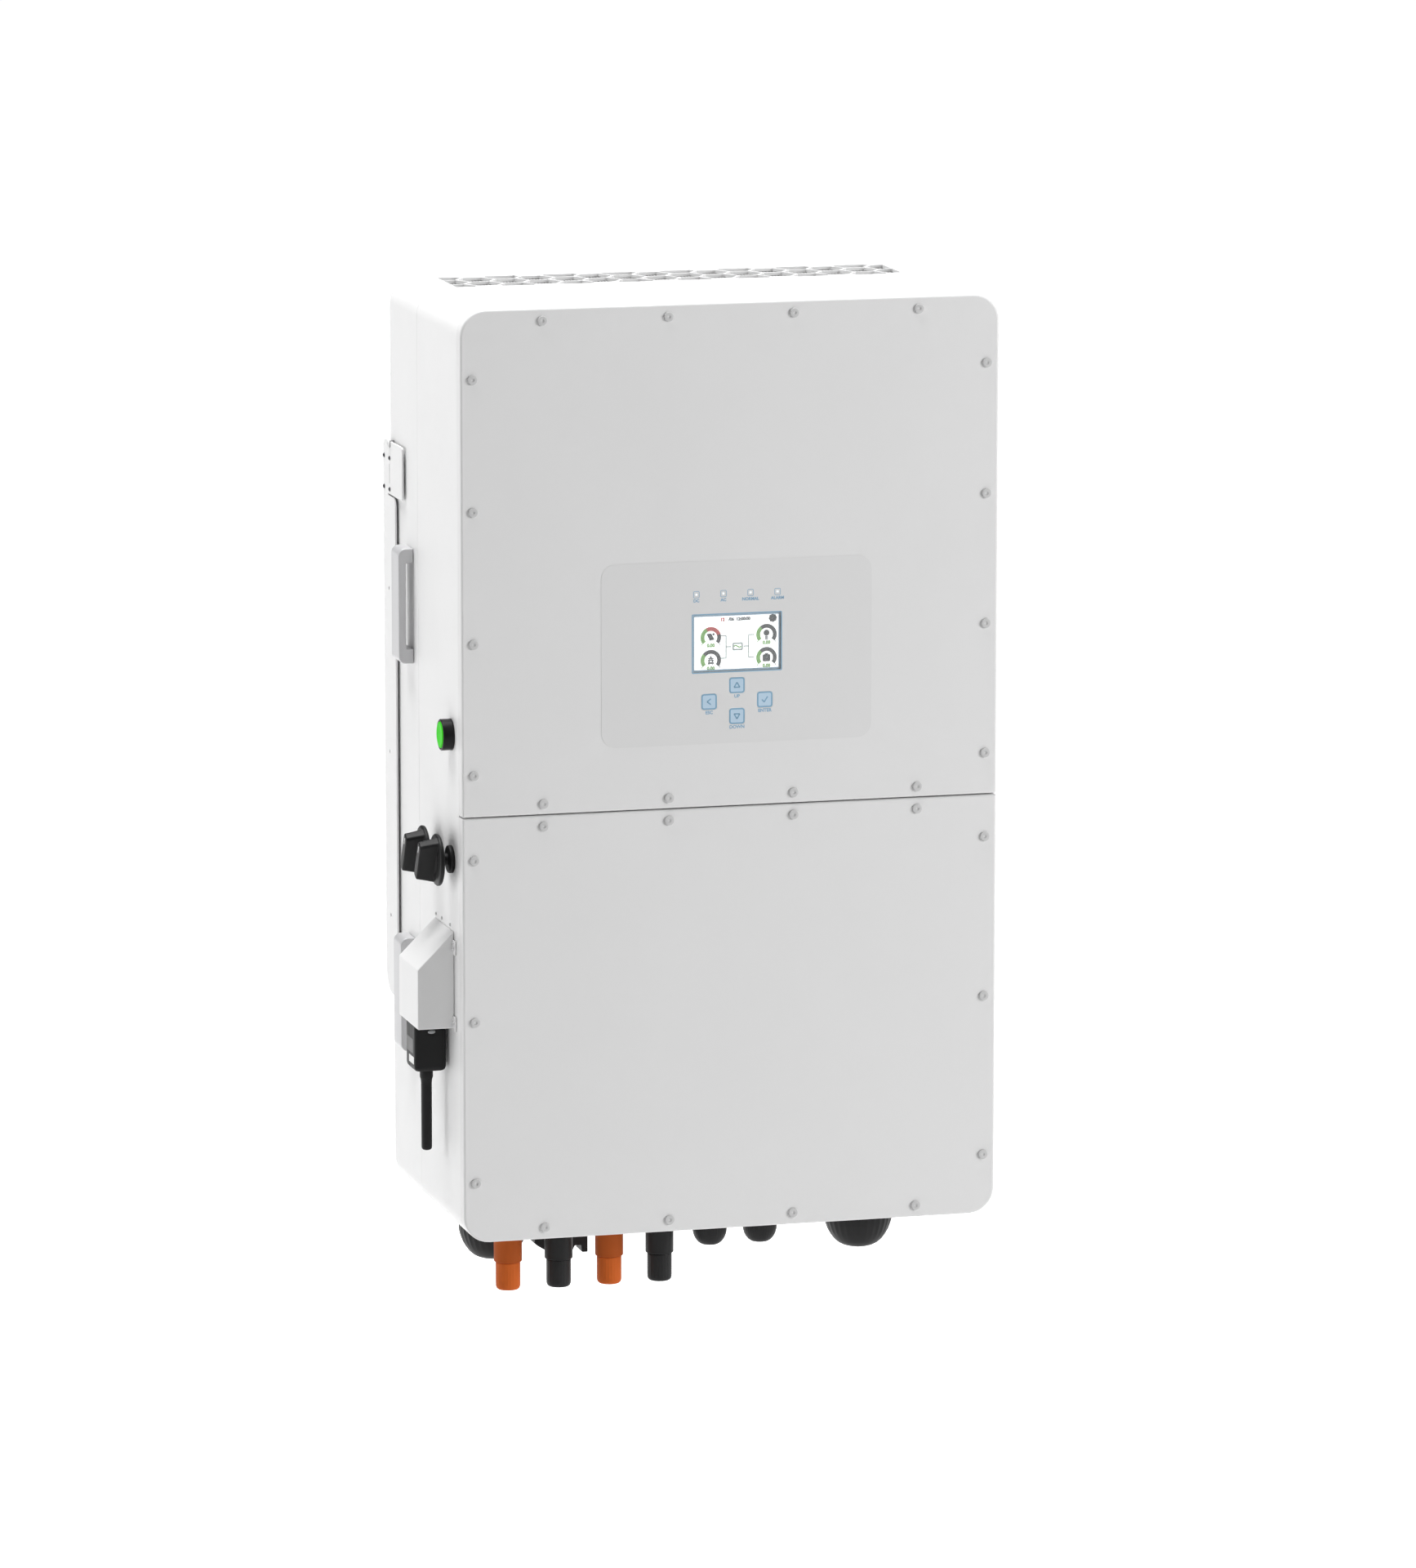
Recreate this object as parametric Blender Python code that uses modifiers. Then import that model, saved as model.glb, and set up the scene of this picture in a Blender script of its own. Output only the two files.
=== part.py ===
"""Wall-hung string inverter, built as an assembly of separate parts.

Units are metres.  +X is the viewer's right, the front faces -Y and +Z is up.  The wall is the plane
Y = 0, X = 0 is the middle of the case and Z = 0 is half its height.  "Depth" is counted from the
covers' front face towards the wall.
"""

import math

import bmesh
import bpy
from mathutils import Matrix, Vector

# Case
CASE_W = 0.527
CASE_H = 0.894
CASE_R = 0.025
FRONT_TO_WALL = 0.304
CASE_BACK = 0.293          # depth of the rear shroud's back
SIDE_SEAM = 0.177          # depth where the front housing meets the rear shroud
HALF_W = CASE_W / 2
HALF_H = CASE_H / 2
SHEET = 0.003
GAP = 0.0003               # clearance between pieces that touch
SIDE_HOLE_PLAY = 0.0007    # twelve-sided hole round a round neck

# Covers
COVER_DEPTH = 0.014
COVER_SHEET = 0.002
COVER_SPLIT_Z = -0.0356
COVER_SPLIT_GAP = 0.0012
SCREW_EDGE = 0.0117        # screw axis to the case outline
SCREW_SPLIT_EDGE = 0.0108  # screw axis to the split line
SCREW_PITCH_X = 0.1228
UPPER_SIDE_SCREW_Z = [0.0051 + 0.1255 * step for step in range(4)]
LOWER_SIDE_SCREW_Z = [-0.0765 - 0.1561 * step for step in range(3)]
SCREW_HEAD_R = 0.0047
SCREW_HEAD_T = 0.0016
SCREW_SHANK_R = 0.0028
FRAME_FRONT = 0.008        # depth of the landing frame's front face
FRAME_BACK = 0.014
FRAME_INSET = COVER_SHEET + 0.0012
FRAME_BAND = 0.023
GASKET_INSET = 0.0180
GASKET_BAND = 0.0070
MOUTH_LIP = 0.030          # width of the housing's front lip round each compartment

# Operator panel
PANEL_X = 0.0053
PANEL_Z = 0.1136
PANEL_W = 0.265
PANEL_H = 0.175
PANEL_R = 0.014
PANEL_T = 0.0038
RIM_OUT = 0.005            # the rim behind the panel, past the panel's outline
RIM_IN = 0.010
RIM_T = 0.0015
WINDOW_T = 0.0012
MODULE_W = 0.098
MODULE_H = 0.065
MODULE_FRONT = 0.0045
MODULE_BACK = 0.0105
SCREEN_FRONT = 0.0018
GUIDE_W = 0.100
GUIDE_H = 0.006
GUIDE_FRONT = 0.0048
GUIDE_BACK = 0.0080
BOARD_W = 0.230
BOARD_LOW = 0.075          # board edges below and above the panel's middle
BOARD_HIGH = 0.070
BOARD_FRONT = 0.0118
BOARD_T = 0.0016
BOARD_POST_R = 0.003
LCD_Z = 0.1222
LCD_W = 0.087
LCD_H = 0.0552
KEY_SIZE = 0.0154
KEY_PITCH_X = 0.0274
KEY_Z = 0.0662
KEY_PITCH_Z = 0.0148
KEY_BACK = 0.0052
KEY_COLLAR_W = 0.0177
KEY_COLLAR_H = 0.012
KEY_COLLAR_BACK = 0.0048
KEY_SWITCH_FRONT = 0.0060
LED_Z = 0.1695
LED_PITCH = 0.0266
LED_R = 0.0016

# Left side wall
BUTTON_DEPTH = 0.043
BUTTON_Z = 0.0385
BUTTON_BEZEL_R = 0.015
BUTTON_CAP_R = 0.0126
BUTTON_REACH = 0.011
BUTTON_SEAT = 0.003        # bottom of the bezel's bore, counted out from the wall
BUTTON_NECK_R = 0.011
BUTTON_CAP_INNER = 0.0065
SWITCH_DEPTHS = {"front": 0.042, "rear": 0.100}
SWITCH_Z = {"front": -0.0815, "rear": -0.0835}
SWITCH_LEAN = math.radians(28)
KNOB_R = 0.0248
KNOB_INNER = 0.0126        # knob disc's inner face, counted out from the wall
KNOB_DISC_T = 0.0045
KNOB_REACH = 0.0344
GRIP_ROOT = 0.0238         # half length of the grip at the disc, and at its outer edge
GRIP_TIP = 0.0195
GRIP_HALF_T = 0.0055
COLLAR_R = 0.0133
SHAFT_R = 0.0034
SHAFT_BORE_R = 0.0058
SWITCH_NECK_R = 0.0060
MECHANISM = (0.052, 0.024, 0.030)   # depth from the wall, half width and half height
HOOD_FRONT = 0.0353
HOOD_BACK = 0.1134
HOOD_REACH = 0.036
HOOD_TOP_Z = -0.150
HOOD_SHOULDER_Z = -0.186
HOOD_BOTTOM_Z = -0.2443
HOOD_SHEET = 0.0015
HOOD_TAB = (0.010, 0.014)
LOGGER_STEM_Z = -0.200
LOGGER_STEM_R = 0.0060
LOGGER_NECK_R = 0.0085
SOCKET_REACH = 0.030
SOCKET_HALF = 0.012
SOCKET_LIFT = 0.010        # socket box above the logger
SOCKET_H = 0.0145
LOGGER_FRONT = 0.057
LOGGER_BACK = 0.094
LOGGER_INNER = 0.003
LOGGER_OUTER = 0.034
LOGGER_TOP_Z = -0.216
LOGGER_BOTTOM_Z = -0.2900
LOGGER_CORNER_R = 0.003
ANTENNA_TIP_Z = -0.3700
ANTENNA_R = 0.0052
ANTENNA_NUT_R = 0.0064
ANTENNA_PIN_R = 0.0026
HANDLE_FRONT = 0.195
HANDLE_W = 0.031
HANDLE_H = 0.112
HANDLE_REACH = 0.0152
HANDLE_BAR = 0.0076
HANDLE_FOOT = 0.014
HANDLE_SLOPE = 0.005
HANDLE_BEND = 0.004
HANDLE_Z = {"upper": 0.1385, "lower": -0.2425}

# Wall bracket and hanger
BRACKET_SHEET = 0.0025
BRACKET_OUT = 0.0042       # flange's outer face, counted out from the case side
FLANGE_SHEET = 0.002
FLANGE_FRONT = 0.256
EAR_FRONT = 0.2255
EAR_LOW_Z = 0.236
EAR_TOP_Z = 0.288
FLANGE_LOW_Z = -0.258
PLATE_LOW_Z = -0.230
EAR_BOLT_DEPTH = 0.277
EAR_BOLT_Z = 0.2855
EAR_BOLT_R = 0.003
FLANGE_REAR_R = 0.024
FLANGE_FRONT_R = 0.008
EAR_CORNER_R = 0.003
EAR_SLOT = 0.0016          # slot between the ear and the flange's round shoulder
EAR_SLOT_BACK = 0.285
SHOULDER_R = 0.010
WINDOW_X = 0.125
WINDOW_HALF = 0.095
WINDOW_R = 0.012
WINDOW_SPANS = {"low": (-0.190, -0.045), "high": (0.045, 0.180)}
ANCHOR_XS = (-0.200, 0.0, 0.200)
ANCHOR_ZS = (-0.210, 0.240)
ANCHOR_R = 0.0055
CLEAT_Z = 0.205
CLEAT_W = 0.420
CLEAT_H = 0.014
CLEAT_T = 0.002
CLEAT_STAND = 0.0035       # cleat lip's back, in front of the bracket's plate
RAIL_SHEET = 0.0022
RAIL_UP = 0.020
EAR_HEAD_R = 0.0042
EAR_HEAD_T = 0.0018

# Bottom
PORT_DEPTH = 0.075
PORT_PITCH = 0.0503
PORT_COUNT = 6
PORT_FIRST_X = -0.2025
BATTERY_TIP = 0.0645       # length below the case
BATTERY_R = 0.0136
BATTERY_CAP_R = 0.0118
BATTERY_CAP_H = 0.0275
BATTERY_FLANGE_R = 0.0165
SIGNAL_TIP = 0.0322
CABLE_TIP = 0.0460
CABLE_GLANDS = {"left": (-0.2023, 0.136), "right": (0.1536, 0.0945)}   # x and depth
PV_LEFT = -0.092
PV_RIGHT = 0.064
PV_FRONT = 0.134
PV_BACK = 0.168
PV_COUNT = 6
PV_TIP = 0.0290
PV_BASE_T = 0.010
PV_TONGUE_INSET = 0.0045
PV_BARREL_R = 0.0088
PORT_NECK_R = 0.0100
PORT_NUT_R = 0.0135
PORT_HOLE_R = 0.0113       # eight-sided, so it clears the round neck
GLAND_NECK_R = 0.0250
GLAND_NUT_R = 0.0300
GLAND_HOLE_R = 0.0262
PORT_COVER_LEFT = -0.1600
PORT_COVER_RIGHT = -0.1070
PORT_COVER_FRONT = 0.138
PORT_COVER_BACK = 0.162
PORT_COVER_DROP = 0.037
PORT_PLUG_R = 0.0080

# Rear duct
DUCT_FRONT = 0.184
DUCT_BACK = 0.284
GRILLE_W = 0.452
GRILLE_FRONT = 0.181
GRILLE_BACK = 0.267
GRILLE_RIM = 0.0035
CELL_COLUMN = 0.0292       # pitch of the columns of hexagons
CELL_COLUMNS = 16          # the outermost ones are cut off by the rim
CELL_WALL = 0.0026
SINK_FRONT = 0.1785
SINK_BASE_BACK = 0.1870
SINK_TIP = 0.2820
SINK_FINS = 21
SINK_PITCH = 0.0215
SINK_FIN_T = 0.0032
SINK_LOW_Z = -0.380
SINK_HIGH_Z = 0.415
TRAY_W = 0.400
TRAY_SLOT_PITCH = 0.0155
TRAY_SLOT_W = 0.010
TRAY_SLOT_REACH = 0.041
FAN_SIZE = 0.092
FAN_T = 0.025
FAN_BORE_R = 0.0440
FAN_BLADE_R = 0.0425
FAN_HUB_R = 0.019
FAN_PITCH = 0.130
FAN_DEPTH = 0.234
FAN_COUNT = 3
FAN_SEAT_T = 0.0035
FAN_STRUT_MIDDLE = 0.0315
FAN_STRUT_HALF = 0.0140
FAN_BLADES = 5
FAN_BLADE_T = 0.0016
FAN_BLADE_CHORD = 0.0185
FAN_BLADE_PITCH = math.radians(38)
FAN_SHAFT_R = 0.0018
FAN_BEARING_R = 0.0021
FAN_TOP_Z = -HALF_H + 0.0045 + FAN_T

# Inside the case
POWER_BOARD_DEPTH = 0.150
POWER_BOARD = (-0.215, 0.010, 0.215, 0.405)
POWER_BOARD_T = 0.002
POWER_POST_R = 0.004
POWER_POST_INSET = 0.010
CAPACITOR_R = 0.0225
CAPACITOR_LENGTH = 0.060
CAPACITOR_PITCH = 0.062
CAPACITOR_COUNT = 6
CAPACITOR_Z = 0.345
CAPACITOR_BASE = (0.200, 0.045, 0.004)
INDUCTOR_Z = 0.1625
INDUCTOR_PITCH = 0.118
INDUCTOR_SIZE = (0.090, 0.066, 0.089)
INDUCTOR_BASE = (0.180, 0.0525, 0.003)
TERMINAL_LOW_Z = -0.270
TERMINAL_DEPTH = 0.042
TERMINAL_H = 0.040
TERMINAL_NOTCH = 0.018
BARRIER_HALF_T = 0.003

PARTS = "string_inverter"
CUTTERS = "cutters"
SHARP_ANGLE = math.radians(40)
SIDES_FINE = 20
SIDES_MIDDLE = 14
SIDES_ROUND = 12
SIDES_COARSE = 6
SIDES_HEAD = 8


# ---------------------------------------------------------------------------------------------
# Scene and helpers


def clear_scene():
    """Remove every object, and make the two collections."""
    for thing in list(bpy.data.objects):
        bpy.data.objects.remove(thing)
    for name in (PARTS, CUTTERS):
        bpy.context.scene.collection.children.link(bpy.data.collections.new(name))


def depth_y(depth):
    """Y of a plane that lies at a depth behind the covers' front face."""
    return depth - FRONT_TO_WALL


def material(name, colour, roughness, metallic=0.0):
    """Return a Principled material, made once for each name."""
    found = bpy.data.materials.get(name)
    if found:
        return found
    made = bpy.data.materials.new(name)
    made.use_nodes = True
    shader = made.node_tree.nodes["Principled BSDF"]
    shader.inputs["Base Color"].default_value = (*colour, 1.0)
    shader.inputs["Roughness"].default_value = roughness
    shader.inputs["Metallic"].default_value = metallic
    return made


def white_paint(name):
    return material(name, (0.86, 0.86, 0.86), 0.5)


def black_plastic(name):
    return material(name, (0.03, 0.03, 0.032), 0.5)


def add_object(name, mesh, location=(0, 0, 0), rotation=(0, 0, 0), look=None):
    """Link a mesh as a part when it has a material, or else as a cutter."""
    thing = bpy.data.objects.new(name, mesh)
    thing.location = location
    thing.rotation_euler = rotation
    if look is None:
        bpy.data.collections[CUTTERS].objects.link(thing)
        thing.hide_render = True
        thing.display_type = "WIRE"
    else:
        bpy.data.collections[PARTS].objects.link(thing)
        mesh.materials.clear()
        mesh.materials.append(look)
    return thing


def mesh_from(name, shape):
    mesh = bpy.data.meshes.new(name)
    shape.to_mesh(mesh)
    shape.free()
    return mesh


def block(name, low, high, look=None):
    """A box between two corners, with its origin at its middle."""
    low, high = Vector(low), Vector(high)
    shape = bmesh.new()
    bmesh.ops.create_cube(shape, size=1.0, matrix=Matrix.Diagonal((*(high - low), 1.0)))
    return add_object(name, mesh_from(name, shape), (low + high) / 2, look=look)


AXIS_ROTATION = {"X": (0, math.pi / 2, 0), "Y": (math.pi / 2, 0, 0), "Z": (0, 0, 0)}


def cylinder_shape(radius, length, sides):
    shape = bmesh.new()
    bmesh.ops.create_cone(
        shape, cap_ends=True, segments=sides, radius1=radius, radius2=radius, depth=length
    )
    return shape


def rod(name, radius, start, end, axis, sides=SIDES_COARSE, look=None):
    """A cylinder between two points that lie on a line along one axis."""
    start, end = Vector(start), Vector(end)
    mesh = mesh_from(name, cylinder_shape(radius, (end - start).length, sides))
    if look is not None:
        mesh.shade_smooth()
        mesh.set_sharp_from_angle(angle=SHARP_ANGLE)
    return add_object(name, mesh, (start + end) / 2, AXIS_ROTATION[axis], look)


def rods(name, radius, spans, axis, sides=SIDES_COARSE):
    """Several equal cylinders in one cutter; a span is a (start, end) pair."""
    merged = bmesh.new()
    turn = Matrix.Rotation(math.pi / 2, 4, "Y" if axis == "X" else "X")
    for start, end in spans:
        start, end = Vector(start), Vector(end)
        placed = Matrix.Translation((start + end) / 2)
        if axis != "Z":
            placed = placed @ turn
        bmesh.ops.create_cone(
            merged, cap_ends=True, segments=sides, radius1=radius, radius2=radius,
            depth=(end - start).length, matrix=placed,
        )
    return add_object(name, mesh_from(name, merged))


def boolean(target, cutter, operation):
    change = target.modifiers.new(operation.lower() + "_" + cutter.name, "BOOLEAN")
    change.operation = operation
    change.solver = "EXACT"
    change.object = cutter


def cut(target, *cutters):
    for cutter in cutters:
        boolean(target, cutter, "DIFFERENCE")


def fuse(target, *pieces):
    for piece in pieces:
        boolean(target, piece, "UNION")


def arc(centre, radius, start_deg, end_deg, steps=6):
    """Points on an arc, both ends included."""
    points = []
    for step in range(steps + 1):
        angle = math.radians(start_deg + (end_deg - start_deg) * step / steps)
        points.append((centre[0] + radius * math.cos(angle), centre[1] + radius * math.sin(angle)))
    return points


def rounded_rectangle(low, high, low_r, high_r, steps=6):
    """Outline of a rectangle whose lower and upper corners have their own radius."""
    outline = []
    corners = (
        (low[0], low[1], 1, 1, low_r, 180),
        (high[0], low[1], -1, 1, low_r, 270),
        (high[0], high[1], -1, -1, high_r, 0),
        (low[0], high[1], 1, -1, high_r, 90),
    )
    for x, z, inward_x, inward_z, radius, start in corners:
        if radius > 0:
            centre = (x + inward_x * radius, z + inward_z * radius)
            outline += arc(centre, radius, start, start + 90, steps)
        else:
            outline.append((x, z))
    return outline


def circle(centre, radius, sides=SIDES_COARSE):
    return arc(centre, radius, 0, 360 - 360 / sides, sides - 1)


PLANE_ROTATION = {
    "XY": (0, 0, 0),
    "XZ": (math.pi / 2, 0, 0),
    "YZ": (math.pi / 2, 0, math.pi / 2),
}


def prism(name, outlines, start, end, plane, look=None):
    """Extrude flat outlines, the later ones being holes, between two positions across the plane."""
    curve = bpy.data.curves.new(name + "_outline", "CURVE")
    curve.dimensions = "2D"
    curve.fill_mode = "BOTH"
    curve.extrude = abs(end - start) / 2
    for outline in outlines:
        spline = curve.splines.new("POLY")
        spline.points.add(len(outline) - 1)
        spline.use_cyclic_u = True
        for point, (across, up) in zip(spline.points, outline):
            point.co = (across, up, 0, 1)
    drawn = bpy.data.objects.new(name + "_outline", curve)
    bpy.context.scene.collection.objects.link(drawn)
    evaluated = drawn.evaluated_get(bpy.context.evaluated_depsgraph_get())
    mesh = bpy.data.meshes.new_from_object(evaluated)
    bpy.data.objects.remove(drawn)
    mesh.name = name
    mesh.shade_smooth()
    mesh.set_sharp_from_angle(angle=SHARP_ANGLE)
    shape = bmesh.new()
    shape.from_mesh(mesh)
    bmesh.ops.remove_doubles(shape, verts=shape.verts, dist=0.00001)
    shape.to_mesh(mesh)
    shape.free()
    middle = (start + end) / 2
    place = {"XY": (0, 0, middle), "XZ": (0, middle, 0), "YZ": (middle, 0, 0)}[plane]
    return add_object(name, mesh, place, PLANE_ROTATION[plane], look)


def turned(name, profile, location, look, sides=SIDES_FINE, rotation=(0, 0, 0)):
    """Turn a (radius, height) profile, listed from top to bottom, about the local Z axis."""
    shape = bmesh.new()
    points = [shape.verts.new((radius, 0, height)) for radius, height in profile]
    for upper, lower in zip(points, points[1:]):
        shape.edges.new((upper, lower))
    thing = add_object(name, mesh_from(name, shape), location, rotation, look)
    turn = thing.modifiers.new("turn", "SCREW")
    turn.steps = sides
    turn.render_steps = sides
    turn.use_merge_vertices = True
    turn.merge_threshold = 0.00001
    turn.use_smooth_shade = True
    return thing


# ---------------------------------------------------------------------------------------------
# Case


def case_outline(inset):
    radius = CASE_R - inset
    low = (-HALF_W + inset, -HALF_H + inset)
    high = (HALF_W - inset, HALF_H - inset)
    return rounded_rectangle(low, high, radius, radius)


def port_x(index):
    return PORT_FIRST_X + index * PORT_PITCH


def port_cover_middle():
    middle_x = (PORT_COVER_LEFT + PORT_COVER_RIGHT) / 2
    return middle_x, depth_y((PORT_COVER_FRONT + PORT_COVER_BACK) / 2)


def front_housing():
    """Tray with an upper and a lower compartment, a front lip and holes for what passes through."""
    front = depth_y(COVER_DEPTH + GAP)
    back = depth_y(SIDE_SEAM)
    look = white_paint("housing_paint")
    housing = prism("front_housing", [case_outline(0)], front, back, "XZ", look)
    shelf_low = COVER_SPLIT_Z - SHEET / 2
    shelf_high = COVER_SPLIT_Z + SHEET / 2
    inner_r = CASE_R - SHEET
    rooms = {
        "upper": (shelf_high, HALF_H - SHEET, 0.0, inner_r),
        "lower": (-HALF_H + SHEET, shelf_low, inner_r, 0.0),
    }
    mouth_x = HALF_W - MOUTH_LIP
    mouth_inset = MOUTH_LIP - SHEET
    for name, (low_z, high_z, low_r, high_r) in rooms.items():
        room = rounded_rectangle(
            (-HALF_W + SHEET, low_z), (HALF_W - SHEET, high_z), low_r, high_r
        )
        mouth = rounded_rectangle(
            (-mouth_x, low_z + mouth_inset), (mouth_x, high_z - mouth_inset), 0, 0
        )
        cut(
            housing,
            prism("room_" + name, [room], front + SHEET, back - SHEET, "XZ"),
            prism("mouth_" + name, [mouth], front - SHEET, front + 2 * SHEET, "XZ"),
        )
    left_out, left_in = -HALF_W - SHEET, -HALF_W + 2 * SHEET
    side_holes = {
        "button_hole": (BUTTON_NECK_R, BUTTON_DEPTH, BUTTON_Z),
        "switch_hole_front": (SWITCH_NECK_R, SWITCH_DEPTHS["front"], SWITCH_Z["front"]),
        "switch_hole_rear": (SWITCH_NECK_R, SWITCH_DEPTHS["rear"], SWITCH_Z["rear"]),
        "logger_hole": (LOGGER_STEM_R, (LOGGER_FRONT + LOGGER_BACK) / 2, LOGGER_STEM_Z),
    }
    for name, (neck_r, depth, z) in side_holes.items():
        y = depth_y(depth)
        cut(housing, rod(
            name, neck_r + SIDE_HOLE_PLAY, (left_out, y, z), (left_in, y, z), "X", SIDES_ROUND
        ))
    low, high = -HALF_H - SHEET, -HALF_H + 2 * SHEET
    y = depth_y(PORT_DEPTH)
    port_spans = [((port_x(i), y, low), (port_x(i), y, high)) for i in range(PORT_COUNT)]
    gland_spans = [
        ((x, depth_y(depth), low), (x, depth_y(depth), high))
        for x, depth in CABLE_GLANDS.values()
    ]
    pv_inset = PV_TONGUE_INSET - SIDE_HOLE_PLAY
    plug_x, plug_y = port_cover_middle()
    cut(
        housing,
        rods("port_holes", PORT_HOLE_R, port_spans, "Z", SIDES_HEAD),
        rods("gland_holes", GLAND_HOLE_R, gland_spans, "Z", SIDES_MIDDLE),
        block(
            "pv_hole",
            (PV_LEFT + pv_inset, depth_y(PV_FRONT + pv_inset), low),
            (PV_RIGHT - pv_inset, depth_y(PV_BACK - pv_inset), high),
        ),
        rod(
            "port_plug_hole", PORT_PLUG_R + SIDE_HOLE_PLAY, (plug_x, plug_y, low),
            (plug_x, plug_y, high), "Z", SIDES_ROUND,
        ),
    )
    return housing


def rear_shroud():
    """Deep rear shell that makes the cooling duct: open in front, at the top and at the bottom."""
    front = depth_y(SIDE_SEAM + GAP)
    back = depth_y(CASE_BACK)
    shroud = prism("rear_shroud", [case_outline(0)], front, back, "XZ", white_paint("shroud_paint"))
    bolt_reach = HALF_W + SHEET
    bolt_y = depth_y(EAR_BOLT_DEPTH)
    cut(
        shroud,
        prism("duct", [case_outline(SHEET)], front - SHEET, back - SHEET, "XZ"),
        block(
            "outlet",
            (-GRILLE_W / 2 - GAP, depth_y(GRILLE_FRONT) - GAP, HALF_H - 2 * SHEET),
            (GRILLE_W / 2 + GAP, depth_y(GRILLE_BACK) + GAP, HALF_H + SHEET),
        ),
        block(
            "inlet",
            (-TRAY_W / 2 - GAP, depth_y(DUCT_FRONT) - GAP, -HALF_H - SHEET),
            (TRAY_W / 2 + GAP, depth_y(DUCT_BACK) + GAP, -HALF_H + 2 * SHEET),
        ),
        rod(
            "ear_bolt_holes", EAR_BOLT_R + GAP, (-bolt_reach, bolt_y, EAR_BOLT_Z),
            (bolt_reach, bolt_y, EAR_BOLT_Z), "X", SIDES_ROUND,
        ),
    )
    return shroud


def heat_sink():
    """Base plate and fins, extruded along the airflow."""
    base_back, fin_tip = depth_y(SINK_BASE_BACK), depth_y(SINK_TIP)
    half_width = (SINK_FINS - 1) / 2 * SINK_PITCH + SINK_FIN_T / 2
    outline = [(-half_width, depth_y(SINK_FRONT)), (half_width, depth_y(SINK_FRONT))]
    for index in reversed(range(SINK_FINS)):
        middle = (index - (SINK_FINS - 1) / 2) * SINK_PITCH
        right, left = middle + SINK_FIN_T / 2, middle - SINK_FIN_T / 2
        if index < SINK_FINS - 1:
            outline.append((right, base_back))
        outline += [(right, fin_tip), (left, fin_tip)]
        if index > 0:
            outline.append((left, base_back))
    look = material("heat_sink_metal", (0.62, 0.63, 0.64), 0.4, 1.0)
    return prism("heat_sink", [outline], SINK_LOW_Z, SINK_HIGH_Z, "XY", look)


def slot_outline(centre, length, width):
    """Rectangle about a centre, its length across and its width up the drawing."""
    across, up = length / 2, width / 2
    x, y = centre
    return [(x - across, y - up), (x + across, y - up), (x + across, y + up), (x - across, y + up)]


def hexagon(centre, radius):
    return arc(centre, radius, 0, 300, 5)


def clipped(polygon, low, high):
    """Part of a convex polygon inside a rectangle."""
    for axis, sign, limit in ((0, 1, low[0]), (0, -1, -high[0]), (1, 1, low[1]), (1, -1, -high[1])):
        kept = []
        for here, following in zip(polygon, polygon[1:] + polygon[:1]):
            inside, next_inside = sign * here[axis] - limit, sign * following[axis] - limit
            if inside >= 0:
                kept.append(here)
            if inside * next_inside < 0:
                share = inside / (inside - next_inside)
                kept.append(tuple(a + (b - a) * share for a, b in zip(here, following)))
        polygon = kept
    return polygon


def top_grille():
    """Outlet plate with a honeycomb of hexagonal cells, cut off by the plate's rim."""
    middle = depth_y((GRILLE_FRONT + GRILLE_BACK) / 2)
    half = (GRILLE_W / 2, (GRILLE_BACK - GRILLE_FRONT) / 2)
    row = CELL_COLUMN * 2 / math.sqrt(3)
    cell_r = (row - CELL_WALL) / math.sqrt(3)
    reach_x, reach_y = half[0] - GRILLE_RIM, half[1] - GRILLE_RIM
    low, high = (-reach_x, middle - reach_y), (reach_x, middle + reach_y)
    cells = bmesh.new()
    for column in range(CELL_COLUMNS):
        x = (column - (CELL_COLUMNS - 1) / 2) * CELL_COLUMN
        steps = (-0.5, 0.5) if column % 2 else (-1, 0, 1)
        for step in steps:
            cell = clipped(hexagon((x, middle + step * row), cell_r), low, high)
            ends = [
                cells.faces.new([cells.verts.new((*point, z)) for point in cell])
                for z in (HALF_H - 2 * SHEET, HALF_H + SHEET)
            ]
            ends[0].normal_flip()
            bmesh.ops.bridge_loops(cells, edges=list(ends[0].edges) + list(ends[1].edges))
    plate = block(
        "top_grille", (-half[0], middle - half[1], HALF_H - SHEET), (half[0], middle + half[1], HALF_H),
        white_paint("grille_paint"),
    )
    cut(plate, add_object("grille_cells", mesh_from("grille_cells", cells)))
    return plate


def fan_tray():
    """Bottom plate that carries the fans and guards their mouths with slots."""
    middle = depth_y((DUCT_FRONT + DUCT_BACK) / 2)
    outlines = [slot_outline((0, middle), TRAY_W, DUCT_BACK - DUCT_FRONT)]
    for index in range(FAN_COUNT):
        for row in (-2, -1, 0, 1, 2):
            offset = row * TRAY_SLOT_PITCH
            length = 2 * math.sqrt(TRAY_SLOT_REACH ** 2 - offset ** 2)
            centre = (fan_x(index), depth_y(FAN_DEPTH) + offset)
            outlines.append(slot_outline(centre, length, TRAY_SLOT_W))
    look = material("tray_steel", (0.55, 0.56, 0.57), 0.45, 1.0)
    return prism("fan_tray", outlines, -HALF_H, -HALF_H + SHEET, "XY", look)


def fan_x(index):
    return (index - (FAN_COUNT - 1) / 2) * FAN_PITCH


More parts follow.
